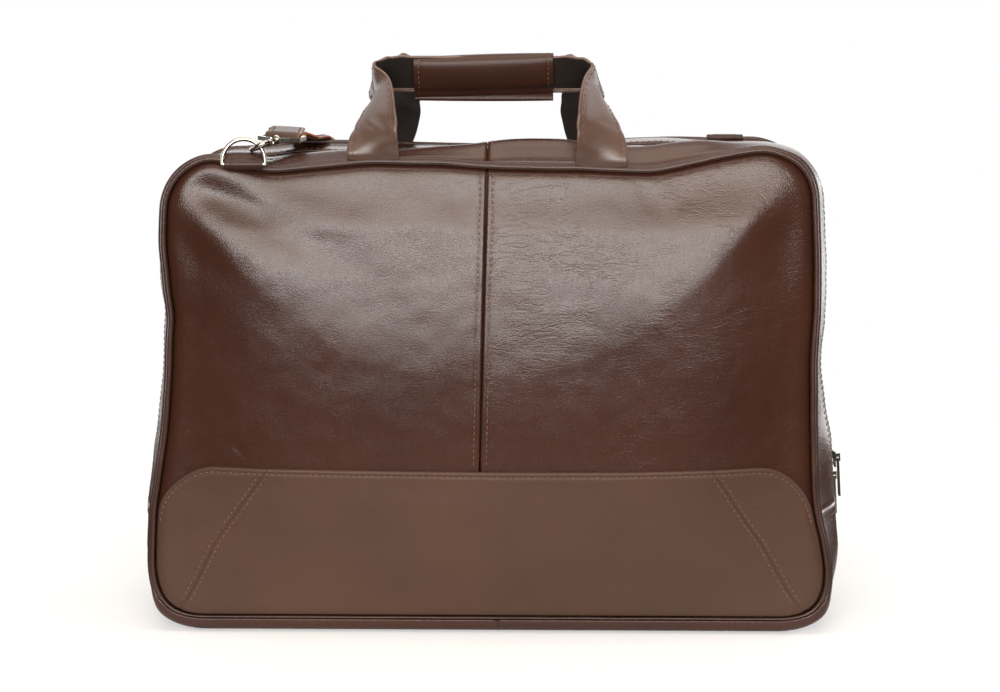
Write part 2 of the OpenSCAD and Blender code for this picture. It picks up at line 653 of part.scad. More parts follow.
// Leather end of the shoulder strap, folded round the eye's bar and stitched
end_l = 24;
end_in_r = eye_wire_r + soft_gap;
module strap_end() {
    translate([-web_w / 2, eye_bar_y, 0]) rotate([90, 0, 90]) linear_extrude(web_w) difference() {
        union() {
            circle(r = end_in_r + web_t, $fn = 48);
            translate([0, -end_in_r - web_t]) square([end_l, 2 * (end_in_r + web_t)]);
        }
        circle(r = end_in_r, $fn = 48);
        translate([0, -end_in_r]) square([6, 2 * end_in_r]);
    }
}

// Place of the front hook: through the right shoulder of the leaning ring, lying over the top
front_grab_x = 10;
front_grab = [front_grab_x, 0, ring_leg + sqrt(ring_half_w * ring_half_w - front_grab_x * front_grab_x)];
hook_yaw = -25;
hook_roll = 25;
hook_pitch = 4;
seat = hook_r - hook_wire_r - wire_r - 0.5;
front_grab_at = [-tab_x + front_grab[0], bar_y + front_grab[2] * sin(front_ring_lean),
    bar_z + front_grab[2] * cos(front_ring_lean)];
hook_axis = [-sin(hook_yaw) * cos(hook_pitch), cos(hook_yaw) * cos(hook_pitch), sin(hook_pitch)];
module at_front_hook() {
    translate(front_grab_at)
        rotate([0, 0, hook_yaw]) rotate([hook_pitch, 0, 0]) rotate([0, -hook_roll, 0])
        translate([0, seat, 0]) children();
}
// The rear hook hangs from the middle of the rear ring's bow, in the plane square to the ring's wire
ring_reach = ring_leg + ring_half_w;
rear_grab_at = [tab_x, -bar_y + ring_reach * sin(rear_ring_lean), bar_z - ring_reach * cos(rear_ring_lean)];
module at_rear_hook() {
    translate(rear_grab_at)
        rotate([-90, 0, 0]) rotate([0, 90, 0]) translate([0, seat, 0]) children();
}
module front_hook() { color(nickel) at_front_hook() hook(); }
module rear_hook() { color(nickel) at_rear_hook() hook(); }
module front_hook_gate() { color(nickel) at_front_hook() hook_gate(); }
module rear_hook_gate() { color(nickel) at_rear_hook() hook_gate(); }
module front_eye() { color(nickel) at_front_hook() rotate([0, hook_roll, 0]) eye(); }
module rear_eye() { color(nickel) at_rear_hook() rotate([0, -90, 0]) eye(); }
module front_strap_end() { color(leather) at_front_hook() rotate([0, hook_roll, 0]) strap_end(); }
module rear_strap_end() { color(leather) at_rear_hook() rotate([0, -90, 0]) strap_end(); }

// Shoulder strap: from the front hook's leather end over the top, then in a hanging loop behind the
// rear panel to the rear hook's leather end
end_gap = 1.8;
run_start = front_grab_at + hook_axis * (seat + eye_bar_y + end_l + end_gap);
run_z = run_start[2];
// Length of the strap's first straight stretch, and its fall from there to the rear edge
run_lead = web_w * 0.28;
run_fall = web_t * 1.5;
run_x = run_start[0] + run_lead;
over_y = piping_y * 0.84;
over_z = run_z - run_fall;
back_y = rear_grab_at[1];
module strap_top_run() {
    color(leather) ribbon(
        [run_start, run_start + hook_axis * run_lead,
            [run_x - run_lead / 7, over_y * 0.39, run_z - run_fall * 0.17],
            [run_x, over_y * 0.62, run_z - run_fall * 0.43], [run_x, over_y, over_z]],
        [[1, -0.466, 0], [1, -0.466, 0], [1, -0.2, 0], [1, 0, 0], [1, 0, 0]], web_w, web_t);
}
loop_r = (tab_x - run_x) / 2;
loop_mid = (tab_x + run_x) / 2;
loop_z = rear_grab_at[2] - seat - eye_bar_y - end_l - end_gap;
loop_drop = loop_z - seam_z - web_w / 2 - 3;
module strap_back_run() {
    turns = [for (i = [0:14]) 180 + 180 * i / 14];
    bend = web_w * 1.12;
    color(leather) ribbon(
        concat([[run_x, over_y + 2 * soft_gap, over_z], [run_x, back_y - bend * 0.5, over_z - bend * 0.07],
            [run_x, back_y - bend * 0.21, over_z - bend * 0.28],
            [run_x, back_y - bend * 0.05, over_z - bend * 0.6], [run_x, back_y, over_z - bend]],
            [for (a = turns) [loop_mid + loop_r * cos(a), back_y, loop_z + loop_drop * sin(a)]]),
        concat([for (i = [0:4]) [1, 0, 0]],
            [for (a = turns) [-loop_drop * cos(a), 0, -loop_r * sin(a)]]), web_w, web_t);
}
// Slide buckle on the straight left leg of the loop, with two slots that the strap is threaded through
buckle_w = 34;
buckle_h = 20;
buckle_t = 6;
buckle_z = loop_z + 26;
buckle_rim = 3;
module strap_buckle() {
    slot_w = web_w + 2;
    window_h = (buckle_h - 3 * buckle_rim) / 2;
    color(nickel) translate([run_x, back_y, buckle_z]) difference() {
        translate([-buckle_w / 2, -buckle_t / 2, -buckle_h / 2]) cube([buckle_w, buckle_t, buckle_h]);
        translate([-slot_w / 2, -web_t / 2 - 0.4, -buckle_h]) cube([slot_w, web_t + 0.8, 2 * buckle_h]);
        for (level = [-buckle_h / 2 + buckle_rim, buckle_rim / 2])
            translate([-slot_w / 2, -buckle_t, level]) cube([slot_w, 2 * buckle_t, window_h]);
    }
}

lower_gusset_left();
lower_gusset_right();
strip_feet();
front_lower_panel();
rear_lower_panel();
overlay_centre();
overlay_corner_left();
overlay_corner_right();
front_piping_lower();
rear_piping_lower();
bottom_board();
divider_panel();
laptop_sleeve();
centre_strip_left();
centre_strip_right();
front_inner_tape();
rear_inner_tape();
front_inner_teeth();
rear_inner_teeth();
strap_top_run();
front_panel_left();
front_panel_right();
front_strip_left();
front_strip_right();
front_piping_upper();
front_lining();
front_outer_tape();
front_outer_teeth();
front_ring_tab();
rear_panel();
rear_strip_left();
rear_strip_right();
rear_piping_upper();
rear_lining();
rear_outer_tape();
rear_outer_teeth();
rear_ring_tab();
strap_back_run();
strap_buckle();
front_handle_strap();
front_grip();
rear_handle_strap();
rear_grip();
front_slider();
rear_slider();
front_pull();
rear_pull();
front_ring();
rear_ring();
front_hook();
rear_hook();
front_hook_gate();
rear_hook_gate();
front_eye();
rear_eye();
front_strap_end();
rear_strap_end();
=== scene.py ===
# %% [markdown]
# # A soft leather laptop briefcase
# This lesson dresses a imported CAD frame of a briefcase. The frame gives the bodies, the joints and
# the sizes; this script gives the leather, the seams, the zips and the light. All shapes are worked
# out in millimetres and turned to metres when a mesh is made, so that the numbers stay readable.

import math

import bmesh
import bpy
import numpy as np
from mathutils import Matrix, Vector, noise


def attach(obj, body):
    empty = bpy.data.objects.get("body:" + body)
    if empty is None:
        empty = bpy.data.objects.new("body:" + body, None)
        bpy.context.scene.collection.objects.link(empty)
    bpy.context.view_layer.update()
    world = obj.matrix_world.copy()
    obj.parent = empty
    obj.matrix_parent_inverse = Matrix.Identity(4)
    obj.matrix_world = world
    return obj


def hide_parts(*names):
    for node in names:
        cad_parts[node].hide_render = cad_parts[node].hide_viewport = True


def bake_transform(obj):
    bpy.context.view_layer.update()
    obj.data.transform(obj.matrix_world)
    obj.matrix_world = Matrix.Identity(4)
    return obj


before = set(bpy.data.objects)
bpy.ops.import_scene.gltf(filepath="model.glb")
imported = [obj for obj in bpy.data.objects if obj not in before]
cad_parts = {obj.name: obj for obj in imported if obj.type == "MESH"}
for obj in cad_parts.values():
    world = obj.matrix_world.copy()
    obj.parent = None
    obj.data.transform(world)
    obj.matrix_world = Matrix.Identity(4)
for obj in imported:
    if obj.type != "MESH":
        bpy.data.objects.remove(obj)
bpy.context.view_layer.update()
MM = 0.001
SIDES = ((-1, "left"), (1, "right"))
COVERS = ((1, "front"), (-1, "rear"))

# %% [markdown]
# ## Camera
# The photograph was taken from a little above and a little to the right of the bag's middle, with a
# long lens. The place, the pitch and the yaw below were found by projecting known points of the bag,
# such as the ends of the piping and the foot of the base, until they fell where the photograph has
# them. The picture is 1000 by 692 pixels, so the focal length follows from its width.

# %% Camera
FOCAL_PX, PICTURE_W, SENSOR = 2644.5, 1000, 36.0
PITCH, YAW = 11.364, 0.952
camera_data = bpy.data.cameras.new("studio_camera")
camera_data.sensor_width = SENSOR
camera_data.lens = FOCAL_PX * SENSOR / PICTURE_W
camera_data.clip_end = 50.0
camera = bpy.data.objects.new("studio_camera", camera_data)
camera.location = (0.035, -1.755, 0.5387)
camera.rotation_euler = (math.radians(90 - PITCH), 0.0, math.radians(YAW))
bpy.context.scene.collection.objects.link(camera)
bpy.context.scene.camera = camera
bpy.context.scene.view_settings.view_transform = "Standard"
print("lens", round(camera_data.lens, 1), "mm")

# %% [markdown]
# ## Node helpers and colours
# Every material is built from the same small function: it adds one node, sets its inputs and links
# whatever is given as an output of another node. Colours are written as sRGB hex values, the way a
# paint chart gives them, and one function turns them to the linear values that Blender expects.


# %% Node helpers
def linear(code):
    """The linear RGBA of an sRGB hex colour."""
    rgb = [int(code[i : i + 2], 16) / 255 for i in (1, 3, 5)]
    return [c / 12.92 if c <= 0.04045 else ((c + 0.055) / 1.055) ** 2.4 for c in rgb] + [1.0]


def add(tree, kind, inputs=None, **settings):
    """Adds a node; an input may be a number, a colour or another node's output."""
    made = tree.nodes.new(kind)
    for key, value in settings.items():
        setattr(made, key, value)
    for key, value in (inputs or {}).items():
        if isinstance(value, bpy.types.NodeSocket):
            tree.links.new(value, made.inputs[key])
        else:
            made.inputs[key].default_value = value
    return made


def new_finish(name):
    """An empty material, its tree and the output that gives places on the object."""
    finish = bpy.data.materials.new(name)
    finish.use_nodes = True
    finish.node_tree.nodes.clear()
    return finish, finish.node_tree, add(finish.node_tree, "ShaderNodeTexCoord").outputs["Object"]


def maths(tree, operation, *values):
    return add(tree, "ShaderNodeMath", dict(enumerate(values)), operation=operation).outputs[0]


def ramp(tree, value, low, high, to_low=0.0, to_high=1.0):
    """A smooth step of a value between two limits."""
    limits = {0: value, 1: low, 2: high, 3: to_low, 4: to_high}
    return add(tree, "ShaderNodeMapRange", limits, interpolation_type="SMOOTHSTEP").outputs[0]


def mixed(tree, share, low, high):
    return add(
        tree, "ShaderNodeMix", {"Factor": share, "A": low, "B": high}, data_type="RGBA"
    ).outputs["Result"]


def clouds(tree, place, size_mm, detail=2.0, output=0, **more):
    """Noise with features of the given size."""
    inputs = {"Vector": place, "Scale": 1000 / size_mm, "Detail": detail, **more}
    return add(tree, "ShaderNodeTexNoise", inputs).outputs[output]


def relief(tree, height, strength, depth_mm, **more):
    inputs = {"Height": height, "Strength": strength, "Distance": depth_mm * MM, **more}
    return add(tree, "ShaderNodeBump", inputs).outputs[0]


def surface(tree, inputs):
    shader = add(tree, "ShaderNodeBsdfPrincipled", inputs)
    add(tree, "ShaderNodeOutputMaterial", {"Surface": shader.outputs[0]})


# %% [markdown]
# ## Leather
# The bag is drum-dyed cowhide with a light wax finish. Its grain is a net of cells about 1 mm wide,
# here drawn at 1.5 mm so that the render can show them. Where the hide was bent it has fine creases
# some millimetres apart, which run mostly sideways on the front. The dye lies a little unevenly, the
# wax gives a broad, soft gloss, and edges that rub turn lighter. A vertex value named wrinkle says
# how much a piece has been creased, and another named wear says where it rubs.


# %% Leather material
def crease_lines(tree, place, step_mm, lean, seed):
    """Level lines of a noise that is stretched sideways wander as fine creases do."""
    bent = add(
        tree, "ShaderNodeMapping",
        {"Vector": place, "Location": (seed, 0, 0), "Rotation": (0, lean, 0), "Scale": (0.3, 0.4, 1.0)},
    )
    waves = clouds(tree, bent.outputs[0], step_mm, 3.0, Roughness=0.6)
    size = maths(tree, "ABSOLUTE", maths(tree, "SUBTRACT", waves, 0.5))
    return ramp(tree, size, 0.0, 0.032, 1.0, 0.0)


def waxed_cowhide(name, tone, deep, rubbed, gloss, grain_mm=1.5, wax=0.5):
    finish, tree, place = new_finish(name)
    wrinkle, wear = [
        add(tree, "ShaderNodeAttribute", attribute_name=key).outputs["Fac"] for key in ("wrinkle", "wear")
    ]
    # The dye's slow change over 90 mm, and its cloudiness over 14 mm
    slow, cloud = clouds(tree, place, 90), clouds(tree, place, 14, 5.0)
    # Grain cells: high in the middle of a cell, low between cells
    shift = {0: clouds(tree, place, 4, output=1), 1: (0.0009, 0.0009, 0.0009), 2: place}
    shifted = add(tree, "ShaderNodeVectorMath", shift, operation="MULTIPLY_ADD").outputs[0]
    net = {"Vector": shifted, "Scale": 1000 / grain_mm, "Randomness": 1.0}
    cells = add(tree, "ShaderNodeTexVoronoi", net, feature="DISTANCE_TO_EDGE").outputs["Distance"]
    grain = ramp(tree, cells, 0.0, 0.25)
    # Creases come in patches 40 mm wide
    patch = ramp(tree, clouds(tree, place, 40), 0.36, 0.6)
    fine, long = crease_lines(tree, place, 7.0, 0.12, 0.0), crease_lines(tree, place, 15.0, -0.3, 3.0)
    amount = maths(tree, "MULTIPLY", wrinkle, patch)
    crease = maths(tree, "MULTIPLY", maths(tree, "MAXIMUM", fine, long), amount)
    # Colour: creases are painted a little lighter as a painted highlight, and rubbed edges are lighter from
    # wear
    dyed = mixed(tree, ramp(tree, slow, 0.25, 0.75), linear(tone), linear(deep))
    light = maths(tree, "MULTIPLY_ADD", crease, 0.06, wear)
    clouded = maths(tree, "MULTIPLY_ADD", cloud, 0.08, light)
    # Relief: creases first, then the grain on top of them
    folds = relief(tree, maths(tree, "MULTIPLY", crease, -1.0), 0.2, 0.26)
    surface(tree, {
        "Base Color": mixed(tree, ramp(tree, clouded, 0.0, 1.0, 0.0, 0.8), dyed, linear(rubbed)),
        "Roughness": maths(tree, "MULTIPLY_ADD", cloud, 0.07, gloss - 0.035), "IOR": 1.5,
        "Normal": relief(tree, grain, 0.22, 0.18, Normal=folds), "Specular IOR Level": wax,
    })
    return finish


panel_leather = waxed_cowhide("waxed_brown_cowhide", "#40241a", "#381f16", "#6b4a3b", 0.27)
overlay_leather = waxed_cowhide("matt_brown_cowhide", "#4f3529", "#463024", "#765645", 0.48, wax=0.36)
piping_leather = waxed_cowhide("piping_cowhide", "#3f251c", "#341e16", "#6c4a3a", 0.34, 1.3)
# The handle leather is a lighter copy of the grip's leather: its extra lightness is a painted highlight
handle_leather = waxed_cowhide("painted_highlight_handle_cowhide", "#5d463c", "#4e3a31", "#806455", 0.32, 1.3, wax=0.7)
# A darker copy of the handle leather for the grips and ring tabs: its darkness is painted shade
painted_shade_grip_leather = waxed_cowhide("painted_shade_grip_cowhide", "#3e251c", "#331d15", "#664536", 0.38, 1.3, wax=0.35)
strap_leather = waxed_cowhide("strap_cowhide", "#553d30", "#463025", "#8b6755", 0.46, 1.3)
print("leathers:", [m.name for m in bpy.data.materials if m.name.endswith("cowhide")])

# %% [markdown]
# ## Cut edges, thread, tape, cloth and metal
# A cut leather edge shows undyed fibre, orange-brown and dull. The thread is bonded polyester with a
# soft sheen. Zip tape and lining are woven, so their bump is two crossed waves at the yarn spacing;
# the real yarns are 0.3 to 0.5 mm apart and are drawn at 0.8 to 1 mm. The fittings are nickel
# plate: a metal whose colour is in its reflection, with faint wipe marks in the roughness.


# %% Cloth, thread and edge materials
def woven(name, warp, weft, yarn_mm, rough, sheen):
    finish, tree, place = new_finish(name)
    yarns = {"Vector": place, "Scale": 1000 / yarn_mm / (2 * math.pi) * 3.0, "Distortion": 0.6}
    waves = [add(tree, "ShaderNodeTexWave", yarns, bands_direction=way).outputs[1] for way in ("X", "Z")]
    weave = maths(tree, "MULTIPLY", *waves)
    # The fuzz on the yarns has 700 spots to the metre
    height = maths(tree, "MULTIPLY_ADD", clouds(tree, place, 1000 / 700), 0.3, weave)
    surface(tree, {
        "Base Color": mixed(tree, weave, linear(weft), linear(warp)), "Roughness": rough,
        "Normal": relief(tree, height, 0.5, 0.2), "Sheen Weight": sheen, "Sheen Roughness": 0.5,
    })
    return finish


def speckled(name, tone, deep, grain_mm, rough, metal=0.0, relief_mm=0.05):
    """A plain finish with a fine speckle in its colour, roughness and height."""
    finish, tree, place = new_finish(name)
    speck = clouds(tree, place, grain_mm, 4.0)
    surface(tree, {
        "Base Color": mixed(tree, ramp(tree, speck, 0.3, 0.7), linear(deep), linear(tone)),
        "Roughness": maths(tree, "MULTIPLY_ADD", speck, 0.12, rough - 0.06), "Metallic": metal,
        "Normal": relief(tree, speck, 0.4, relief_mm),
    })
    return finish


zip_tape = woven("woven_zip_tape", "#9a6038", "#7a4828", 0.9, 0.8, 0.2)
lining_cloth = woven("woven_lining", "#5b5853", "#44413d", 1.0, 0.85, 0.3)
# Near-black suede for the handles' underside: its darkness is painted shade
painted_shade_flesh_side = speckled("painted_shade_suede_inside", "#20130e", "#140b08", 1.5, 0.9, relief_mm=0.15)
raw_edge = speckled("cut_leather_edge", "#bd7443", "#8a4a28", 1.2, 0.8, relief_mm=0.15)
thread = speckled("polyester_thread", "#7c5b48", "#5f4335", 0.8, 0.55)
zip_coil = speckled("nylon_zip_coil", "#4a3426", "#2e2019", 2.0, 0.4)
nickel = speckled("nickel_plate", "#c4bfb4", "#a9a498", 6.0, 0.17, metal=1.0, relief_mm=0.01)
board = speckled("fibre_board", "#3a332d", "#2b2622", 2.0, 0.85, relief_mm=0.1)
print("finishes:", len(bpy.data.materials))

# %% [markdown]
# ## The outline of the bag
# Seen from the front the bag is a rounded rectangle whose sides lean in towards the top. The same
# outline carries the piping, the gusset and the zips, so it is worked out once, as a list of places
# with the direction that faces outwards. It starts at the middle of the base, runs up the right
# side, over the top and down the left side. The numbers are the frame's own sizes in millimetres.

# %% Sizes and outline
BODY_W, TAPER, BODY_H, BODY_D = 459.0, 15.0, 322.0, 110.0
CORNER_R, BASE_LIFT, BASE_ROUND = 38.0, 16.0, 16.0
TOP_SAG, SIDE_BULGE, TOP_RISE = 4.0, 8.5, 4.0
SEAM_Z, GUSSET_TOP, CORD_R = 116.0, 84.0, 2.6
EDGE_R = CORNER_R - CORD_R
LOW_ARC = (BODY_W / 2 - CORNER_R, BASE_LIFT + CORNER_R)
HIGH_ARC = (BODY_W / 2 - TAPER - CORNER_R, BODY_H - CORNER_R)
TILT = math.atan2(TAPER, HIGH_ARC[1] - LOW_ARC[1])
TOP_Z = BODY_H - CORD_R
# Rows of the outline for its level parts and for each rounded corner, and those of the right side
LEVEL_ROWS, CORNER_ROWS, SIDE_ROWS = 60, 30, slice(40, 120)


def smooth(t):
    t = np.clip(t, 0, 1)
    return t * t * (3 - 2 * t)


def hump(x, middle, width):
    return np.exp(-(((x - middle) / width) ** 2))


def unit(rows):
    return rows / np.linalg.norm(rows, axis=-1, keepdims=True)


def xyz(x, y, z):
    """Places from their coordinates, which may be numbers or arrays."""
    return np.stack(np.broadcast_arrays(x, y, z), -1)


def sag(x):
    return TOP_SAG * (0.5 + 0.5 * np.cos(np.pi * np.minimum(1, np.abs(x) / HIGH_ARC[0])))


def right_rim():
    """Places [x, z, nx, nz] from the base's middle up to the top's middle."""
    rows = [(x, BASE_LIFT + CORD_R, 0, -1) for x in np.linspace(0, LOW_ARC[0], LEVEL_ROWS)]
    for centre, a0, a1 in ((LOW_ARC, -math.pi / 2, TILT), (HIGH_ARC, TILT, math.pi / 2)):
        for a in np.linspace(a0, a1, CORNER_ROWS):
            nx, nz = math.cos(a), math.sin(a)
            rows.append((centre[0] + EDGE_R * nx, centre[1] + EDGE_R * nz, nx, nz))
    rows += [(x, TOP_Z - sag(x), 0, 1) for x in np.linspace(HIGH_ARC[0], 0, LEVEL_ROWS)[1:]]
    return np.array(rows, float)


half_rim = right_rim()
RIM = np.vstack([half_rim, (half_rim * [-1, 1, -1, 1])[-2::-1]])
RIM_S = np.concatenate([[0], np.cumsum(np.hypot(*np.diff(RIM[:, :2], axis=0).T))])
RIM_L = RIM_S[-1]


def rim_at(s):
    """Places on the outline at distances s from the base's middle."""
    rows = np.stack([np.interp(s, RIM_S, RIM[:, k]) for k in range(4)], -1)
    rows[:, 2:] = unit(rows[:, 2:])
    return rows


def side_s(z):
    """Distance along the outline to height z on the right side."""
    return float(np.interp(z, half_rim[SIDE_ROWS, 1], RIM_S[SIDE_ROWS]))


def along(s0, s1, step=3.0):
    return np.linspace(s0, s1, max(2, int(abs(s1 - s0) / step) + 1))


print("outline length", round(RIM_L), "mm, seam at", round(side_s(SEAM_Z)), "mm")

# %% [markdown]
# ## How the soft body hangs
# A used bag is never symmetrical. Its top edge dips beside the left ring tab and at the right
# handle, and its right corner stands higher. Every soft piece goes through the same function, so
# neighbouring pieces move together and no gap opens. Rigid fittings don't move, and there the
# function is close to nothing.


# %% Slouch of the soft body
def curve(knots, blur):
    """A smooth curve through points, as a function."""
    xs, ys = np.array(knots, float).T
    grid = np.arange(xs[0] - 3 * blur, xs[-1] + 3 * blur, 1.0)
    kernel = np.exp(-0.5 * (np.arange(-3 * blur, 3 * blur + 1) / blur) ** 2)
    padded = np.pad(np.interp(grid, xs, ys), len(kernel) // 2, mode="edge")
    values = np.convolve(padded, kernel / kernel.sum(), "valid")[: len(grid)]
    return lambda x: np.interp(x, grid, values)


# How far the top edge stands up, by x
top_line = curve(
    [(-230, 2), (-182, 2), (-165, -1), (-143, -6), (-130, -4.5), (-108, -1.5), (-77, 2.5), (-32, 3),
     (0, 1), (26, 0), (58, -1), (89, -3.5), (106, -4.5), (122, -2), (150, 4), (174, 8), (192, 7),
     (206, 10), (230, 12)], 5
)
# How far the sides sink inwards, by height: the left side, the right side's front edge, and the rest
left_line = curve(
    [(0, 0), (87, 0), (103, 2), (119, 3.5), (135, 5), (151, 5.9), (184, 6.6), (200, 6), (216, 6.8),
     (232, 3.2), (248, 1.3), (264, -1), (285, -1.2), (305, -0.5), (330, 0)], 5
)
right_edge_line = curve(
    [(0, -2), (30, -1.5), (50, 0.5), (64, 3), (80, 6.5), (97, 8), (120, 7.5), (150, 6.8), (184, 5.5),
     (200, 4), (216, 2), (232, 1), (255, 0), (330, 0)], 6
)
right_line = curve(
    [(0, -1.5), (40, -1), (60, 0), (125, 0), (140, 2.5), (151, 4), (168, 4.9), (184, 5.3), (200, 3),
     (216, 0.6), (232, -1), (248, -2), (264, -1), (285, 0), (330, 0)], 5
)


def field(x, y, z, size, seed):
    """Smooth noise between -1 and 1, one value for each place, with features of the given size."""
    places = xyz(x, y, z)
    values = [noise.noise(Vector((a + seed, b, c))) for a, b, c in places.reshape(-1, 3) / size]
    return np.array(values).reshape(places.shape[:-1])


def slouch(points):
    """Where a place of the neat bag comes to lie on the used one."""
    p = np.array(points, float)
    x, y, z = p[..., 0], p[..., 1], p[..., 2]
    high = smooth((z - 225) / 95) ** 1.5
    front = smooth(0.5 - y / 100)
    dz = top_line(x) * high * (0.15 + 0.85 * front)
    side = smooth((np.abs(x) - 140) / 75)
    edge = smooth((-y - 22) / 28)
    right = right_edge_line(z) * edge + right_line(z) * (1 - edge)
    # Behind the front, the left corner hangs and the top beside the right handle stands up a little
    corner = smooth((-x - 120) / 60) * smooth((z - 235) / 60) * smooth((y + 50) / 30)
    behind = smooth((x - 50) / 50) * smooth((160 - x) / 45) * smooth((y + 22) / 18) * high
    # The rims of the front and the rear sink lower than the neat bag's, nearly to the floor
    low = smooth((np.abs(y) - 40) / 12) * smooth((70 - z) / 50)
    p[..., 2] += dz - 6 * corner + 2.6 * behind - 0.44 * z * low
    inward = left_line(z) + 3 * smooth((30 - np.abs(y)) / 18) * smooth((z - 120) / 30)
    p[..., 0] += side * np.where(x < 0, inward, -right) + 3 * corner
    return p


# %% [markdown]
# ## Building meshes from rings
# Nearly every piece is a skin over rings of points: a panel is a stack of flat rings, a strap is a
# row of small ones. The helper joins them to one closed mesh, sets the finish and stores the
# wrinkle and wear values. Another helper fixes the piece to its body, or for the words front and rear
# only bakes its place into its mesh, and hides the plain solids of the frame it stands for.


def mesh_piece(name, verts, faces, finish, **values):
    mesh = bpy.data.meshes.new(name)
    mesh.from_pydata((np.asarray(verts, float) * MM).tolist(), [], faces)
    for key, value in values.items():
        layer = mesh.attributes.new(key, "FLOAT", "POINT")
        layer.data.foreach_set("value", np.broadcast_to(value, len(verts)).astype(np.float32))
    shell = bmesh.new()
    shell.from_mesh(mesh)
    bmesh.ops.recalc_face_normals(shell, faces=shell.faces)
    shell.to_mesh(mesh)
    shell.free()
    mesh.shade_smooth()
    for one in finish if isinstance(finish, list) else [finish]:
        mesh.materials.append(one)
    made = bpy.data.objects.new(name, mesh)
    bpy.context.scene.collection.objects.link(made)
    return made


def ring_faces(n, m, first=0, caps=True):
    index = np.arange(n * m).reshape(n, m) + first
    turned = np.roll(index, -1, axis=1)
    faces = np.stack([index[:-1], turned[:-1], turned[1:], index[1:]], -1).reshape(-1, 4).tolist()
    if caps:
        faces += [index[0, ::-1].tolist(), index[-1].tolist()]
    return faces


def fix(piece, body, slot, *nodes):
    """Fixes a piece to a body; for the words front and rear it only bakes the piece's place into its mesh."""
    if body in ("front", "rear"):
        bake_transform(piece)
    else:
        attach(piece, body)
    if nodes:
        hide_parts(*nodes)
    return piece


def skin(name, rings, finish, body, slot, *nodes, marks=None, cap=0, **values):
    """A closed mesh over rings; marks and cap number the finish round a ring and at the ends."""
    rings = np.asarray(rings, float)
    n, m = rings.shape[:2]
    flat = {key: np.broadcast_to(value, (n, m)).ravel() for key, value in values.items()}
    made = mesh_piece(name, rings.reshape(-1, 3), ring_faces(n, m), finish, **flat)
    if marks is not None:
        numbers = np.append(np.tile(marks, n - 1), [cap, cap]).astype(np.int32)
        made.data.polygons.foreach_set("material_index", numbers)
    return fix(made, body, slot, *nodes)


def many(name, rings, finish):
    """Many small closed pieces in one mesh: an array of pieces, rings, points and coordinates."""
    count, n, m = rings.shape[:3]
    faces = []
    for i in range(count):
        faces += ring_faces(n, m, i * n * m)
    return mesh_piece(name, rings.reshape(-1, 3), faces, finish)


def rear(points):
    """The same places, mirrored to the rear of the bag."""
    return np.asarray(points, float) * [1, -1, 1]


# %% [markdown]
# ## Stitches
# A stitch is a short length of thread that comes out of one needle hole and goes into the next, so
# it stands a little above the leather in its middle and dips at its ends. The helper lays such
# stitches along a line on the surface. The seams have about six stitches to the inch.

# %% Stitch helper
STITCH, STITCH_GAP, THREAD_R = 3.0, 1.1, 0.36


def run_of(path):
    """Distance along a path, at each of its points."""
    return np.concatenate([[0], np.cumsum(np.linalg.norm(np.diff(path[:, :3], axis=0), axis=1))])


def stitches(name, path, normals, body, slot="panel_leather", radius=THREAD_R, lift=0.15):
    """A row of stitches along a path on a surface with the given outward normals."""
    normals = np.broadcast_to(np.asarray(normals, float), path.shape)
    run = run_of(path)
    count = max(1, int(run[-1] / (STITCH + STITCH_GAP)))
    centres = (np.arange(count) + 0.5) * run[-1] / count
    angles = (np.arange(6) * math.pi / 3)[:, None]

    def at(rows, s):
        return np.stack([np.interp(s, run, rows[:, k]) for k in range(3)], -1)

    # Place along the stitch, height above the leather and thickness, from its first end to its middle
    half = [(-0.5, -0.5, 0.15), (-0.38, lift * 0.5, 0.85)]
    rings = []
    for share, height, thick in half + [(0.0, lift, 1.0)] + [(-s, h, w) for s, h, w in half[::-1]]:
        s = centres + share * STITCH
        p, n = at(path, s), unit(at(normals, s))
        t = at(path, s + 0.3) - at(path, s - 0.3)
        t /= np.maximum(np.linalg.norm(t, axis=1, keepdims=True), 1e-9)
        side = np.cross(t, n)[:, None]
        circle = np.cos(angles) * side + np.sin(angles) * n[:, None]
        rings.append((p + n * height)[:, None] + thick * radius * circle)
    fix(many(name, np.stack(rings, 1), thread), body, slot)


# %% [markdown]
# ## The shape of the front
# A filled soft case bellies out, and its crest isn't level: it hangs like a chain between the two
# stiff top corners, because the handles pull the top edge back between them. Above the crest the
# leather faces the light and shines, and below it the leather stays dark. Folds run from the corners
# towards the middle. Near the piping the leather dips into the seam.

# %% Face of the front
# The depth of the groove at the rim, and the thickness of the leather
GROOVE_Y, LEATHER = 48.8, 2.0
# The belly's height and the width of its side slopes, and the height and width of the rim's roll
BELLY, BELLY_EDGE, ROLL, ROLL_W = 16.5, 95, 6.0, 2.8
FRONT = np.array([0.0, -1.0, 0.0])
crest_line = curve(
    [(-230, 296), (-206, 284), (-164, 248), (-144, 231), (-108, 204), (-85, 187), (0, 175), (48, 182),
     (101, 208), (140, 242), (180, 286), (230, 316)], 9
)
# Folds: start x, z, end x, z, half width, height
FOLDS = [
    (-172, 318, -60, 266, 12, 1.3), (-200, 309, -62, 240, 13, -2.9), (-206, 291, -142, 240, 16, 1.8),
    (-208, 270, -155, 232, 14, -1.8), (206, 312, 138, 250, 14, 1.5), (214, 285, 165, 232, 16, -1.5),
    (-60, 312, -38, 262, 12, 0.8), (96, 314, 104, 296, 5, -1.2), (110, 312, 122, 286, 6, 0.9),
    (-168, 130, -157, 120, 2.2, -0.7), (30, 300, 60, 250, 14, -0.7), (-20, 306, -14, 260, 9, -0.6),
]


def half_width(z, inset):
    """Half width of the panel at height z, inside the outline by inset."""
    r = EDGE_R - inset
    low = LOW_ARC[0] + np.sqrt(np.maximum(0, r * r - (LOW_ARC[1] - z) ** 2))
    high = HIGH_ARC[0] + np.sqrt(np.maximum(0, r * r - (z - HIGH_ARC[1]) ** 2))
    side = np.interp(z, half_rim[SIDE_ROWS, 1], half_rim[SIDE_ROWS, 0]) - inset
    return np.where(z < LOW_ARC[1], low, np.where(z > HIGH_ARC[1], high, side))


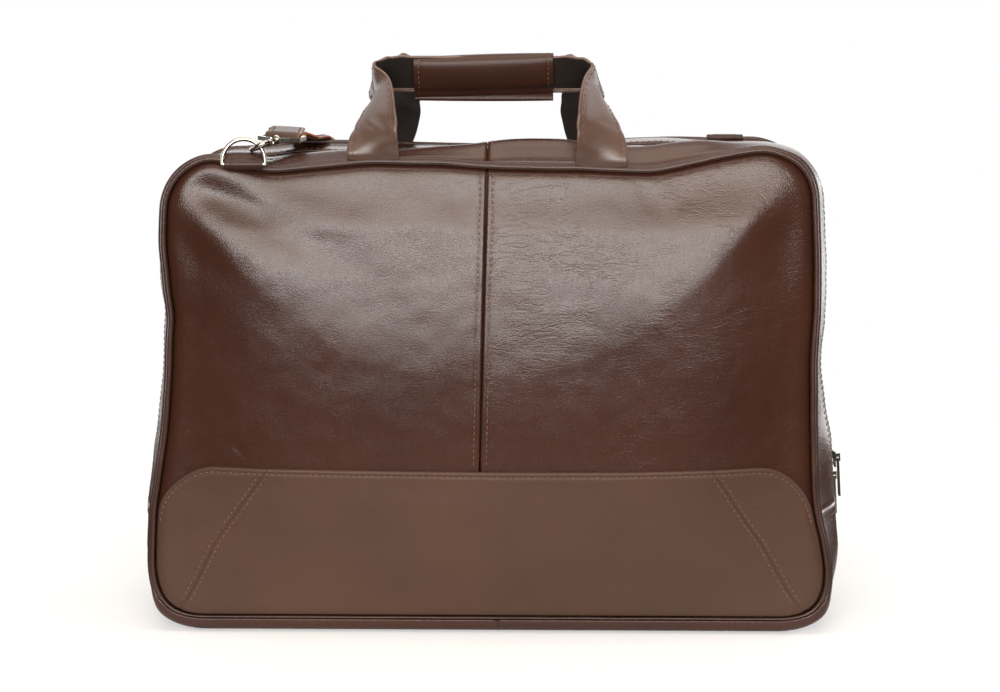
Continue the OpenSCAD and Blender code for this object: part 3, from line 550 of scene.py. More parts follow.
def rim_distance(x, z):
    """How far a place of the panel is inside the outline."""
    centre = np.interp(z, [LOW_ARC[1], HIGH_ARC[1]], [LOW_ARC[0], HIGH_ARC[0]])
    dx = np.abs(x) - centre
    dz = np.maximum(z - HIGH_ARC[1], LOW_ARC[1] - z)
    corner = EDGE_R - np.hypot(np.maximum(dx, 0), np.maximum(dz, 0))
    return np.where((dx > 0) & (dz > 0), corner, np.minimum(EDGE_R - dx, EDGE_R - dz))


def fold_relief(x, z):
    total = 0.0
    for x0, z0, x1, z1, width, height in FOLDS:
        dx, dz = x1 - x0, z1 - z0
        t = np.clip(((x - x0) * dx + (z - z0) * dz) / (dx * dx + dz * dz), 0, 1)
        d2 = (x - x0 - t * dx) ** 2 + (z - z0 - t * dz) ** 2
        total = total + height * np.exp(-d2 / width**2) * (1 - 0.92 * smooth(t))
    return total


def front_face(x, z):
    """Distance of the front leather's face from the bag's middle plane."""
    crest, half = crest_line(x), half_width(z, 0)
    above = np.clip((z - crest) / (BODY_H - crest), 0, 1) ** 1.45
    below = np.clip((crest - z) / (crest - BASE_LIFT), 0, 1) ** 2.6
    across = 1 - np.clip(np.abs(x) / half, 0, 1) ** 6
    sides = 1 - (1 - np.clip((half - np.abs(x)) / BELLY_EDGE, 0, 1)) ** 2.2
    ends = smooth(np.minimum(BODY_H - z, z - BASE_LIFT) / 48)
    belly = BELLY * (1 - above) * (1 - below) * across * sides * ends
    d = np.maximum(rim_distance(x, z) - LEATHER, 0)
    lumps = 0.45 * field(x, 0, z, 34.0, 3.0) + 0.16 * field(x, 0, z, 11.0, 9.0)
    roll = ROLL * (1 - np.exp(-d / ROLL_W))
    return GROOVE_Y + roll + belly + (fold_relief(x, z) + lumps) * smooth(d / 26)


def drop(x, z):
    """How far the sagging top edge lowers a place of a panel."""
    return np.where(z > SEAM_Z, sag(x) * np.clip((z - SEAM_Z) / (TOP_Z - SEAM_Z), 0, 1) ** 2, 0)


# %% [markdown]
# ## Front leather
# The upper front is two hides joined by a seam down the middle: both edges are turned in, so a dark
# channel stays between them, and each is stitched down beside it. The sheet is dense near the seam
# and the rim, where it turns sharply, and coarser where it only bellies.


# %% Front leather panels
def levels(z0, z1, inset, step=2.2):
    """Heights of rows, close together where the outline rounds its corners."""
    low, high = max(z0, LOW_ARC[1]), min(z1, HIGH_ARC[1])
    rise = (EDGE_R - inset) * np.sin(np.linspace(0, math.pi / 2, 22))
    rows = [np.linspace(low, high, int((high - low) / step))]
    if z0 < LOW_ARC[1]:
        rows.append(LOW_ARC[1] - rise)
    if z1 > HIGH_ARC[1]:
        rows.append(HIGH_ARC[1] + rise)
    return np.unique(np.round(np.concatenate(rows), 4))


def spread(count, dense=0.35):
    """Shares from 0 to 1, closer together at both ends."""
    t = np.linspace(0, 1, count)
    return t - dense * np.sin(2 * math.pi * t) / (2 * math.pi)


def closed(outer, inner):
    """Closed rings of a sheet: over its outer face and back along its inner face."""
    return np.concatenate([outer, inner[:, ::-1]], 1)


def sheet_rings(zs, x0, x1, count, face, thick=LEATHER):
    """Rings of a sheet from x0 to x1 at heights zs, with its outer face where face says."""
    z, x0, x1 = (np.reshape(v, (-1, 1)) for v in (zs, x0, x1))
    x = x0 + (x1 - x0) * spread(count)
    outer = xyz(x, -face(x, z), z - drop(x, z))
    return closed(outer, outer + [0, thick, 0])


# Distance of the stitches from the middle seam, and half the width of its channel
SEAM_ROW, CHANNEL = 4.2, 0.4


def seam_x(z):
    """The middle seam leans a little, as it was sewn."""
    return -6.3 + 4.6 * (z - SEAM_Z) / 200


def seam_lip(d):
    """The turned edge at distance d beside the seam: it rounds down into the channel."""
    return -1.6 * np.clip(1 - d / 1.5, 0, 1) ** 2 - 0.35 * hump(d, SEAM_ROW, 1.1)


# The panel's columns, as shares of its width from the seam to the rim
columns = np.concatenate([[0, 0.7, 1.5, 2.6, 3.4, 4.2, 5.0, 6.2], np.linspace(8.5, 220, 104)]) / 220
z = levels(66, BODY_H, LEATHER)[:, None]
for side, label in SIDES:
    gap = CHANNEL + (half_width(z, LEATHER) - side * seam_x(z) - CHANNEL) * columns
    x = seam_x(z) + side * gap
    outer = xyz(x, -front_face(x, z) - seam_lip(gap), z - drop(x, z))
    rings = closed(outer, outer + [0, LEATHER, 0])
    wrinkle = (0.3 if side < 0 else 1.0) * (1.1 - 0.6 * smooth((225 - rings[..., 2]) / 60))
    wear = 0.12 * np.exp(-np.maximum(rim_distance(rings[..., 0], rings[..., 2]), 0) / 2.5)
    skin(
        f"front_{label}_leather", slouch(rings), panel_leather, "front", "panel_leather",
        f"front_panel_{label}", wrinkle=wrinkle, wear=wear,
    )
    line = np.linspace(SEAM_Z + 3, TOP_Z - 6, 120)
    x = seam_x(line) + side * SEAM_ROW
    path = slouch(xyz(x, -front_face(x, line) + 0.1, line - drop(x, line)))
    stitches(f"front_seam_stitches_{label}", path, FRONT, "front")
print("front rows", len(z))

# %% [markdown]
# ## Lower overlay
# A separate piece of leather covers the lower front. It is cut into a middle and two corners that
# meet at slanting seams with two rows of stitches each. Its upper edge is turned over and stitched,
# so it stands up from the leather behind it, and it is smoother and duller than the upper hides.

# %% Overlay
# Half of the straight upper edge, the height where its round corners end, and the slanting seams
OVER_HALF, OVER_SIDE_Z = 183.0, 77.0
DIAG_TOP, DIAG_LOW, DIAG_LOW_Z = 146.0, 201.0, 39.0
OVER_OUT, OVER_IN, OVER_ROW, SLANT_ROW = 2.4, 3.2, 3.4, 3.0
OVER_ROUND = SEAM_Z - OVER_SIDE_Z
OVER_REACH = half_width(OVER_SIDE_Z, OVER_IN) - OVER_HALF
over_line = curve([(-230, -1.2), (-190, 0.6), (-120, 0.6), (0, -0.4), (90, -0.2), (180, 1.4), (230, 0)], 10)


def overlay_x(z):
    u = np.clip((z - OVER_SIDE_Z) / OVER_ROUND, 0, 1)
    return np.where(z <= OVER_SIDE_Z, half_width(z, OVER_IN), OVER_HALF + OVER_REACH * np.sqrt(1 - u * u))


def diagonal(z):
    return DIAG_LOW + (DIAG_TOP - DIAG_LOW) * (z - DIAG_LOW_Z) / (SEAM_Z - DIAG_LOW_Z)


def diagonal_x(z):
    return np.minimum(half_width(z, OVER_IN), diagonal(z))


def top_edge_gap(x, z):
    """Distance of a place from the overlay's upper edge, going inwards."""
    out = np.abs(x) - OVER_HALF
    round_gap = (1 - np.hypot(np.maximum(out, 0) / OVER_REACH, (z - OVER_SIDE_Z) / OVER_ROUND)) * 37
    return np.where((out > 0) & (z > OVER_SIDE_Z), round_gap, SEAM_Z - z)


def overlay_face(x, z):
    gap = np.maximum(top_edge_gap(x, z), 0)
    rounded = 1.8 * (1 - np.sqrt(1 - np.clip(1 - gap / 1.6, 0, 1) ** 2))
    groove = 0.35 * hump(gap, OVER_ROW, 1.0)
    slant = np.abs(x) - diagonal(z)
    seam = 0.12 * hump(slant, 0, 0.6) + 0.22 * hump(np.abs(slant), SLANT_ROW, 0.9)
    seam = seam - 0.25 * smooth(slant / 4 + 0.5)
    rim = np.clip(1 - (rim_distance(x, z) - OVER_IN) / 2.2, 0, 1)
    turned = 0.5 * hump(gap, 0, 7.0) - 2.2 * (1 - np.sqrt(1 - rim * rim))
    return front_face(x, z) + OVER_OUT + turned - rounded - groove - seam * (z > DIAG_LOW_Z - 6)


def laid(rings):
    """The overlay's upper edge wavers a little before the whole bag slouches."""
    moved = np.array(rings, float)
    moved[..., 2] += over_line(moved[..., 0]) * smooth((moved[..., 2] - 60) / 50)
    return slouch(moved)


over_rows = np.unique(np.concatenate([
    levels(BASE_LIFT, OVER_SIDE_Z, OVER_IN),
    OVER_SIDE_Z + OVER_ROUND * np.sin(np.linspace(0, math.pi / 2, 34)),
    SEAM_Z - np.array([0.15, 0.4, 0.8, 1.3, 1.9, 2.6, 3.4, 4.2, 5.2]),
]))
middle = diagonal_x(over_rows)
rings = laid(sheet_rings(over_rows, -middle, middle, 190, overlay_face))
skin(
    "overlay_middle_leather", rings, overlay_leather, "bag_base", "panel_leather", "overlay_centre",
    wrinkle=0.08,
)
rows = over_rows[overlay_x(over_rows) > middle + 0.6]
for side, label in SIDES:
    rings = laid(sheet_rings(rows, side * diagonal_x(rows), side * overlay_x(rows), 44, overlay_face))
    skin(
        f"overlay_{label}_leather", rings, overlay_leather, "bag_base", "panel_leather",
        f"overlay_corner_{label}", wrinkle=0.3 if side < 0 else 0.9,
    )
angles = np.linspace(0, math.pi / 2, 40)
x = np.concatenate([OVER_HALF + (OVER_REACH - OVER_ROW) * np.cos(angles), np.linspace(OVER_HALF, 0, 60)[1:]])
z = np.concatenate([OVER_SIDE_Z + (OVER_ROUND - OVER_ROW) * np.sin(angles), np.full(59, SEAM_Z - OVER_ROW)])
x, z = np.concatenate([x, -x[-2::-1]]), np.concatenate([z, z[-2::-1]])
stitches("overlay_edge_stitches", laid(xyz(x, -overlay_face(x, z), z)), FRONT, "bag_base")
z = np.linspace(DIAG_LOW_Z - 4, SEAM_Z - 6, 60)
for side, label in SIDES:
    for row, tag in ((-SLANT_ROW, "inner"), (SLANT_ROW, "outer")):
        x = side * (diagonal(z) + row)
        path = laid(xyz(x, -overlay_face(x, z), z))
        stitches(f"overlay_slant_{label}_{tag}", path, FRONT, "bag_base")
print("overlay rows", len(over_rows))

# %% [markdown]
# ## Backing and rear leather
# Behind the overlay lies a plain lower panel. The rear of the bag has one upper hide and one lower
# hide with a stitched seam between them. The photograph doesn't show the rear; it follows what such
# bags have, with the same grain and a gentler belly.


# %% Lower backing and rear panels
def backing_face(x, z):
    return front_face(x, z) - 2.3


def rear_face(x, z):
    rise = (1 - ((z - 169) / 153.0) ** 2) * (1 - np.clip(np.abs(x) / 232, 0, 1) ** 5)
    d = np.maximum(rim_distance(x, z) - LEATHER, 0)
    lumps = 0.9 * field(x, 50, z, 60.0, 5.0) + 0.3 * field(x, 50, z, 18.0, 1.0)
    groove = -0.9 * hump(z - SEAM_Z, 1, 1.0) - 0.35 * hump(z - SEAM_Z, -3.0, 1.0)
    return GROOVE_Y + ROLL * (1 - np.exp(-d / ROLL_W)) + (8.5 * rise + lumps + groove) * smooth(d / 26)


rows = levels(BASE_LIFT, 110, 2.2)
half = half_width(rows, 2.2)
rings = slouch(sheet_rings(rows, -half, half, 90, backing_face))
skin("front_backing_leather", rings, panel_leather, "bag_base", "panel_leather", "front_lower_panel")
seam_rows = SEAM_Z + np.array([-5, -4, -3, -2, -1, 0, 0.6, 1, 1.6, 2.4, 3.4])
rows = np.unique(np.concatenate([levels(BASE_LIFT, BODY_H, LEATHER), seam_rows]))
for part, label, node in (
    (rows[rows <= SEAM_Z + 0.01], "lower", "rear_lower_panel"),
    (rows[rows >= SEAM_Z + 0.5], "upper", "rear_panel"),
):
    half = half_width(part, LEATHER)
    rings = slouch(rear(sheet_rings(part, -half, half, 200, rear_face)))
    skin(f"rear_{label}_leather", rings, panel_leather, "rear", "panel_leather", node, wrinkle=0.45)
x, z = np.linspace(-215, 215, 220), SEAM_Z - 3.0
stitches("rear_seam_stitches", slouch(xyz(x, rear_face(x, z), z - drop(x, z))), -FRONT, "rear")
print("rear rows", len(rows))

# %% [markdown]
# ## Gusset, strips and piping
# The gusset is the band between the front and the rear. It is swept along the outline with its own
# section, and it bulges most at mid depth. The piping is a cord in a folded strip of leather, and
# just outside it the gusset's edge is turned over the same seam, which makes the second ridge.


# %% Band helpers
def arch(y):
    return 1 - (2 * y / BODY_D) ** 2


def swell(y, nx, nz):
    u = np.clip((np.abs(y) - (BODY_D / 2 - BASE_ROUND)) / BASE_ROUND, 0, 1)
    under = (BASE_LIFT + CORD_R) * nz * nz * np.cbrt(np.maximum(0, 1 - u**3))
    return SIDE_BULGE * nx * nx * arch(y) + np.where(nz < 0, under, TOP_RISE * nz * nz * arch(y))


SLIDER_S = side_s(104)
# How far the front strip puffs up over the top and how far the zips sink behind it, by x
zip_sink = curve(
    [(-230, 3), (-190, 3.5), (-110, 5), (-40, 3), (0, 2), (60, 1), (112, 1), (142, 4), (200, 5), (230, 4)], 6
)
top_puff = curve(
    [(-230, 0), (-160, 0), (-140, 2.0), (-119, 5.2), (-100, 4.5), (-60, 3.5), (-30, 6), (-5, 11), (15, 14),
     (50, 13.5), (84, 11), (118, 12), (140, 8), (155, 4), (175, 1), (230, 0)], 6
)


def pucker(s, y):
    """Soft waves of the gusset leather, which fade at its edges, at the base and at the sliders."""
    waves = 1.9 * field(s, y, 0, 46.0, 21.0) + 0.7 * field(s, y, 0, 17.0, 4.0)
    off_base = smooth((s - 215) / 40) * smooth((RIM_L - 215 - s) / 40)
    return waves * arch(y) * (1 - hump(s, SLIDER_S, 34)) * off_base


def band_rings(s, ys, offs):
    """Rings across the band at distances s; each ring has depths ys and heights offs."""
    x, z, nx, nz = rim_at(s).T[..., None]
    ys, offs = np.atleast_2d(np.asarray(ys, float)), np.asarray(offs, float)
    puff = top_puff(x) * hump(ys, -39, 8.5) + 2 * hump(ys, 39, 8.5)
    sunk = zip_sink(x) * smooth((ys + 33) / 8) * smooth((52 - ys) / 12) * smooth(1.5 * nz)
    d = swell(ys, nx, nz) + offs + pucker(s[:, None], ys) + puff * np.maximum(nz, 0) ** 4 - sunk
    return slouch(xyz(x + nx * d, ys, z + nz * d))


def section(ys, tops, bottom):
    """A closed section of a strip: depths and heights over its top and back below."""
    bottoms = np.full(len(ys), bottom)
    return np.concatenate([ys, ys[::-1]]), np.concatenate([np.broadcast_to(tops, len(ys)), bottoms])


def line_along(s, y, out=0.0):
    """A line on the gusset and its outward normals."""
    nx, nz = rim_at(s)[:, 2:].T
    return band_rings(s, [y], [out])[:, 0], xyz(nx, 0, nz)


def line_across(s, depths):
    """A line across the gusset and its outward normal."""
    nx, nz = rim_at(np.full(1, s))[0, 2:]
    return band_rings(np.full(1, s), depths, np.full(len(depths), 0.1))[0], (nx, 0, nz)


S_GUSSET = side_s(GUSSET_TOP)
S_JOIN = RIM_L / 2 - seam_x(BODY_H)
# The joint of the two halves under the base, and the gusset's share that turns under the rims
BASE_SEAM_S, TURN_UNDER = 5.0, 0.0803

# %% Lower gusset
edge_depths = 50.9 - 13 * np.linspace(0, 1, 12) ** 2
ys = np.concatenate([-edge_depths, np.linspace(-36, 36, 19), edge_depths[::-1]])
depths, heights = section(ys, 0.0, -LEATHER)
for label, s0, s1, end_s, sign in (
    ("right", BASE_SEAM_S, S_GUSSET, S_GUSSET, -1),
    ("left", RIM_L - S_GUSSET, RIM_L + BASE_SEAM_S, RIM_L - S_GUSSET, 1),
):
    s = np.mod(along(s0, s1), RIM_L)
    under = np.minimum(rim_at(s)[:, 3:4], 0) ** 2
    rings = band_rings(s, depths[None] * (1 + TURN_UNDER * smooth(3 * under)), heights)
    skin(
        f"gusset_{label}_leather", rings, panel_leather, "bag_base", "panel_leather",
        f"lower_gusset_{label}", wrinkle=0.3,
    )
    for row, gap in (("upper", 2.0), ("lower", 6.5)):
        path, normal = line_across(end_s + sign * gap, np.linspace(-48, 48, 80))
        stitches(f"gusset_{label}_{row}_stitches", path, normal, "bag_base")
print("gusset length", round(2 * S_GUSSET), "mm")

# %% Side and top strips beside the zips
# The second edge of a strip is turned under and a little raised
STRIP_Y0, STRIP_Y1, ZIP_ROW = -50.8, -24.6, 27.3
ys = STRIP_Y0 + (STRIP_Y1 - STRIP_Y0) * (1 - (1 - np.linspace(0, 1, 14)) ** 1.7)
gap = np.abs(STRIP_Y1 - ys)
tops = 0.35 * hump(gap, 0, 2.5) - 1.3 * np.clip(1 - gap / 1.0, 0, 1) ** 2 - 0.25 * hump(gap, 2.6, 0.8)
depths, heights = section(ys, tops, -LEATHER)
for mirror, name in COVERS:
    for label, s0, s1 in (
        ("right", S_GUSSET + 0.4, S_JOIN - 0.2), ("left", RIM_L - S_GUSSET - 0.4, S_JOIN + 0.2)
    ):
        s = along(s0, s1)
        feet = ["strip_feet"] if (name, label) == ("front", "right") else []
        skin(
            f"{name}_{label}_strip_leather", band_rings(s, depths * mirror, heights), panel_leather, name,
            "panel_leather", f"{name}_strip_{label}", *feet, wrinkle=0.5,
        )
        path, normals = line_along(s[1:-1], -ZIP_ROW * mirror, -0.05)
        stitches(f"{name}_{label}_zip_stitches", path, normals, name)
        for shift, tag in ((3.0, "a"), (-3.0, "b")) if feet else ():
            path, normal = line_across(S_JOIN + shift, np.linspace(-48, -27, 12))
            stitches(f"top_seam_stitches_{tag}", path, normal, name)
ys = np.array([-5.2, -4.6, -3.4, -1.5, 1.5, 3.4, 4.6, 5.2])
depths, heights = section(ys, [-1.2, -0.2, 0.1, 0.35, 0.35, 0.1, -0.2, -1.2], -LEATHER)
for label, s0, s1 in (
    ("right", S_GUSSET + 0.4, S_JOIN - 0.15), ("left", RIM_L - S_GUSSET - 0.4, S_JOIN + 0.15)
):
    s = along(s0, s1)
    skin(
        f"centre_{label}_strip_leather", band_rings(s, depths, heights), panel_leather, "bag_base",
        "panel_leather", f"centre_strip_{label}", wrinkle=0.3,
    )
    for y, row in ((-3.6, "front"), (3.6, "rear")):
        stitches(f"centre_{label}_{row}_stitches", *line_along(s[1:-1], y), "bag_base")


# %% Piping
# Points round a roll, and the depths of the cord and of the gusset's turned edge
ROUND, CORD_DEPTH, LIP_DEPTH = 10, 52.9, 50.4


def roll_rings(s, y, off, r):
    """A round roll that follows the outline; depth and height may change along it."""
    a = np.arange(ROUND) * 2 * math.pi / ROUND
    x, z, nx, nz = rim_at(s).T[..., None]
    wobble = 0.25 * field(s, float(np.mean(y)), 0, 25.0, 31.0)[:, None]
    d = np.reshape(off, (-1, 1)) + wobble + r * np.sin(a)
    return slouch(xyz(x + nx * d, np.reshape(y, (-1, 1)) + r * np.cos(a), z + nz * d))


s = along(0, RIM_L, 2.5)[:-1]
nx, nz = rim_at(s)[:, 2:].T
under = np.minimum(nz, 0) ** 2
lip_out = 1.1 * nx**2 + 2.3 * under + 0.5 * np.maximum(nz, 0)
for mirror, name in COVERS:
    cord = roll_rings(s, -CORD_DEPTH * mirror, -0.9, 1.95)
    lip = roll_rings(s, -(LIP_DEPTH + 2.9 * smooth(3 * under)) * mirror, lip_out, 1.6)
    verts = np.concatenate([cord, lip]).reshape(-1, 3)
    faces = []
    for first in (0, len(s) * ROUND):
        faces += ring_faces(len(s), ROUND, first, caps=False)
        # The last ring is joined to the first one
        last = first + (len(s) - 1) * ROUND
        for k in range(ROUND):
            beside = (k + 1) % ROUND
            faces.append([last + k, last + beside, first + beside, first + k])
    rub = np.clip(field(verts[:, 0], verts[:, 1], verts[:, 2], 14.0, 8.0) * 1.4 - 0.35, 0, 1) * 0.35
    made = mesh_piece(f"{name}_piping", verts, faces, piping_leather, wear=rub)
    fix(made, name, "piping_leather", f"{name}_piping_lower", f"{name}_piping_upper")
print("piping length", round(RIM_L), "mm")

# %% [markdown]
# ## Zips
# Each zip has a woven tape on both sides and a nylon coil whose turns hook into each other. A turn
# is made as a short rounded bar across the tape's edge, 2.4 mm apart. The tapes on the cover side
# are built in place, and the others stay with the bag.

# %% Zip tapes and coils
TAPE_OFF, TAPE_T, PITCH_MM = -2.1, 0.8, 2.4
s = along(S_GUSSET + 0.5, RIM_L - S_GUSSET - 0.5)
count = int((s[-1] - s[0]) / PITCH_MM)
for mirror, name in COVERS:
    # Depths of the tape's edges and of the coil's bars, and the turns' shift along the zip
    for kind, body, y0, y1, bar0, bar1, shift in (
        ("inner", "bag_base", -13.6, -4.8, -15.5, -13.0, 0.25),
        ("outer", name, -25.3, -16.4, -17.0, -14.5, 0.75),
    ):
        depths, heights = section(np.linspace(y0, y1, 7), TAPE_OFF, TAPE_OFF - TAPE_T)
        rings = band_rings(s, depths * mirror, heights)
        skin(f"{name}_{kind}_zip_tape", rings, zip_tape, body, "zip_tape", f"{name}_{kind}_tape")
        turns = s[0] + (np.arange(count) + shift) * PITCH_MM
        bars = []
        for share, r in ((0.0, 0.3), (0.18, 0.75), (0.82, 0.75), (1.0, 0.3)):
            y = (bar0 + (bar1 - bar0) * share) * mirror
            row = []
            for a in np.arange(6) * math.pi / 3:
                height = TAPE_OFF + 0.35 + r * 1.2 * math.sin(a)
                row.append(band_rings(turns + r * 0.95 * math.cos(a), [y], [height])[:, 0])
            bars.append(np.stack(row, 1))
        made = many(f"{name}_{kind}_zip_coil", np.stack(bars, 1), zip_coil)
        fix(made, body, "zip_teeth", f"{name}_{kind}_teeth")
print("coil turns", count)

# %% [markdown]
# ## Straps
# A strap is a flat ribbon with soft edges. It is swept along a smooth path, with the direction of
# its width given at each point, so it can twist. The path goes through the frame's own points.


# %% Strap helpers
def through(points, count):
    """A smooth path through points."""
    pts = np.asarray(points, float)
    run = run_of(pts)
    knots = np.vstack([2 * pts[0] - pts[1], pts, 2 * pts[-1] - pts[-2]])
    out = []
    for s in np.linspace(0, run[-1], count):
        i = int(np.clip(np.searchsorted(run, s, side="right") - 1, 0, len(pts) - 2))
        t = (s - run[i]) / max(run[i + 1] - run[i], 1e-9)
        a, b, c, d = knots[i : i + 4]
        bend = (2 * a - 5 * b + 4 * c - d) * t**2 + (3 * b - a - 3 * c + d) * t**3
        out.append(0.5 * (2 * b + (c - a) * t + bend))
    return np.array(out)


EDGE_ROW = 2.6


def strap_section(width, thick, pad, steps=25):
    """Points across a strap: distance from its middle line, height, and 1 on its cut edges."""
    u = np.linspace(-1, 1, steps)
    groove = 0.22 * hump(np.abs(u) * width / 2 - width / 2, -3, 0.9)
    top = thick / 2 * (1 - 0.35 * np.abs(u) ** 8) + pad * (1 - u * u) - groove
    edge = np.array([0.55, 0.0, -0.55]) * thick / 2
    us = np.concatenate([u, [1.015, 1.03, 1.015], u[::-1], [-1.015, -1.03, -1.015]]) * width / 2
    vs = np.concatenate([top, edge, -top[::-1], -edge])
    return us, vs, np.repeat([0.0, 1.0, 0.0, 1.0], [steps, 3, steps, 3])


def sweep_strap(path, wide, widths, thick, pad=0.0):
    """Rings of a strap, the directions of its width and its upper face, and its cut edges."""
    ahead = unit(np.gradient(path, axis=0))
    wide = unit(wide - ahead * np.sum(wide * ahead, axis=1, keepdims=True))
    up = np.cross(ahead, wide)
    rings = []
    for p, a, b, w in zip(path, wide, up, np.broadcast_to(widths, len(path))):
        us, vs, raw = strap_section(w, thick, pad)
        rings.append(p + us[:, None] * a + vs[:, None] * b)
    return np.array(rings), wide, up, raw


# %% [markdown]
# ## Handles and padded grips
# Each handle is one strap of folded leather, stitched along both edges. It comes up out of the seam
# lying flat against the front, twists a quarter turn on its way up and runs level through a padded
# grip. The grip is a sleeve of leather over foam, closed by a seam on its underside, with a row of
# stitches round each end. It pulls in at the ends and swells between them.

# %% Handle straps
STRAP_T, PIVOT_Z = 3.0, 322.1
HANDLES = ((1, "front", 51.0), (-1, "rear", 47.0))
# Rows from a foot to the grip: x, depth, height as a share of the rise, width direction, width,
# inward move of a rear leg, and how far the whole loop leans to the left there
LEG = [
    (74.0, 52.3, -0.10, (-1, 0, 0), 33, 3, -1.5), (74.0, 53.5, 0.0, (-1, 0, 0), 33, 4, -1.5),
    (73.8, 53.3, 0.16, (-0.95, -0.3, 0), 33, 8, -1.5), (72.6, 49.9, 0.36, (-0.82, -0.57, 0.02), 33, 10, -1.6),
    (71.4, 42.9, 0.58, (-0.6, -0.8, 0.06), 33, 9, -1.8), (71, 33.9, 0.77, (-0.36, -0.91, 0.15), 33, 6, -2.0),
    (72.6, 24.9, 0.90, (-0.1, -0.93, 0.33), 33, 8, -3.2), (68.0, 17.6, 0.98, (0, -0.83, 0.55), 32, 7, -3.6),
    (59.0, 13.6, 0.99, (0, -0.68, 0.73), 29, 3, -4.3), (50.0, 11.5, 0.985, (0, -0.57, 0.82), 26, 0, -4.8),
    (38.0, 11.0, 0.985, (0, -0.57, 0.82), 26, 0, -4.8), (0.0, 11.0, 0.985, (0, -0.57, 0.82), 26, 0, -4.8),
]


def handle_route(is_rear, rise):
    """The strap's middle line, width direction and width, from the right foot to the left one."""
    rows = []
    for side in (1, -1):
        part = []
        for x, y, share, wide, width, inward, lean in LEG:
            at = side * (x - inward * is_rear) + lean
            part.append([at, -y, PIVOT_Z + share * rise, side * wide[0], wide[1], wide[2], width])
        rows += part if side > 0 else part[-2::-1]
    return through(rows, 260)


for mirror, name, rise in HANDLES:
    flip = [1, mirror, 1]
    route = handle_route(mirror < 0, rise)
    path, wide, widths = route[:, :3], route[:, 3:6], route[:, 6]
    foot = smooth(1 - (path[:, 2] - PIVOT_Z + 5) / 26)
    path[:, 2] += top_line(path[:, 0]) * foot * (1.0 if mirror > 0 else 0.15)
    rings, a, b, raw = sweep_strap(path, wide, widths, STRAP_T, pad=0.35)
    bend = hump(path[:, 2:3] - PIVOT_Z, 19, 5)
    x, z = rings[..., 0], rings[..., 2]
    ripple = np.sin(x / 3.1 + z / 2.3) + 0.6 * np.sin(x / 7 - z / 3.1)
    rings += b[:, None] * (0.5 * bend * ripple)[..., None]
    # The strap's underside shows its flesh side, drawn near black as painted shade
    around = np.arange(rings.shape[1])
    skin(
        f"{name}_handle_leather", rings * flip, [handle_leather, painted_shade_flesh_side], f"{name}_handle",
        "handle_leather", f"{name}_handle_strap", marks=(around >= 28) & (around < 52),
        wrinkle=0.6 * bend, wear=0.3 * raw,
    )
    for leg, part in ((slice(8, 100), "right"), (slice(160, 252), "left")):
        for edge, tag in ((-1, "out"), (1, "in")):
            line = path[leg] + a[leg] * edge * (widths[leg, None] / 2 - EDGE_ROW) + b[leg] * (STRAP_T / 2)
            stitches(
                f"{name}_handle_{part}_{tag}", line * flip, b[leg] * flip, f"{name}_handle",
                "handle_leather", 0.27, 0.05,
            )

# %% Padded grips
GRIP_L, GRIP_W, GRIP_T, GRIP_Y, GRIP_SHARE, GRIP_X = 92.0, 27.5, 12.5, 11.0, 0.985, -4.8
GRIP_AXIS = np.array([0, -0.57, 0.82]) / math.hypot(0.57, 0.82)
GRIP_ROW, GRIP_LEAN = 3.5, 3.0
end = GRIP_L / 2
xs = np.concatenate([[1.2 - end, -end], -end + GRIP_L * spread(70, 0.6)[1:-1], [end, end - 1.2]])
x = xs[:, None]
# Both ends are turned in
inside = np.ones_like(x)
inside[[0, -1]] = 0.55
t = np.abs(2 * x / GRIP_L)
a = np.linspace(0, 2 * math.pi, 72, endpoint=False)
c, s = np.cos(a), np.sin(a)
w = GRIP_W / 2 * (0.97 + 0.03 * (1 - t**2)) * inside
h = GRIP_T / 2 * (1.0 + 0.16 * (1 - t**2)) * inside
h = h * (1.0 - 0.10 * t**6 - 0.05 * hump(end - np.abs(x), GRIP_ROW, 1.2))
# The sleeve is closed by a flat seam of two layers that hangs below the roll
off = np.abs(a - math.pi)
creases = 0.25 * np.sin(x / 2.4 + 3 * off + 2 * np.sin(x / 8)) * hump(off, 0.9, 0.4)
v = (h + creases) * np.sign(s) * np.abs(s) ** 0.95 * (1 - 0.45 * hump(off, 0.52, 0.14))
u = w * np.sign(c) * np.abs(c) ** 0.8 - 6.0 * inside * np.exp(-((off / 0.38) ** 4))
under = hump(a, math.pi, 0.9)
for mirror, name, rise in HANDLES:
    flip = [1, mirror, 1]
    centre_z = PIVOT_Z + GRIP_SHARE * rise
    rings = xyz(x + GRIP_X, -GRIP_Y, centre_z) + u[..., None] * GRIP_AXIS
    rings = rings + v[..., None] * np.cross([1, 0, 0], GRIP_AXIS)
    if mirror > 0:
        rings[..., 2] += (rings[..., 0] - GRIP_X) / GRIP_L * GRIP_LEAN
    # The grip's darker leather is a copy of the handle leather; its darkness is painted shade
    made = skin(
        f"{name}_painted_shade_grip_leather", rings * flip, painted_shade_grip_leather, f"{name}_handle", "handle_leather",
        f"{name}_grip", wrinkle=0.8 * under, wear=0.1 * (1 - under),
    )
    for side, label in SIDES:
        k = int(np.argmin(np.abs(xs - side * (end - GRIP_ROW))))
        loop = rings[k][np.arange(len(a) + 1) % len(a)] * flip
        out = (loop - [0, -GRIP_Y * mirror, centre_z]) * [0, 1, 1]
        stitches(
            f"{name}_grip_end_{label}", loop, unit(out), f"{name}_handle", "handle_leather", 0.38, 0.2
        )
print("handles done")

# %% [markdown]
# ## Ring tabs, strap ends and shoulder strap
# A ring tab is a short piece of leather folded over the piping and round the ring's bar. The strap
# ends are folded round the bar of the swivel eye; their cut edges are left raw, so they show the
# orange fibre of the hide. The shoulder strap itself lies over the top and hangs behind the bag.


# %% Ring tabs
def arc(centre, r, a0, a1, count):
    """Points [y, z] on an arc, with angles in degrees."""
    a = np.radians(np.linspace(a0, a1, count))
    return np.stack([centre[0] + r * np.cos(a), centre[1] + r * np.sin(a)], -1)


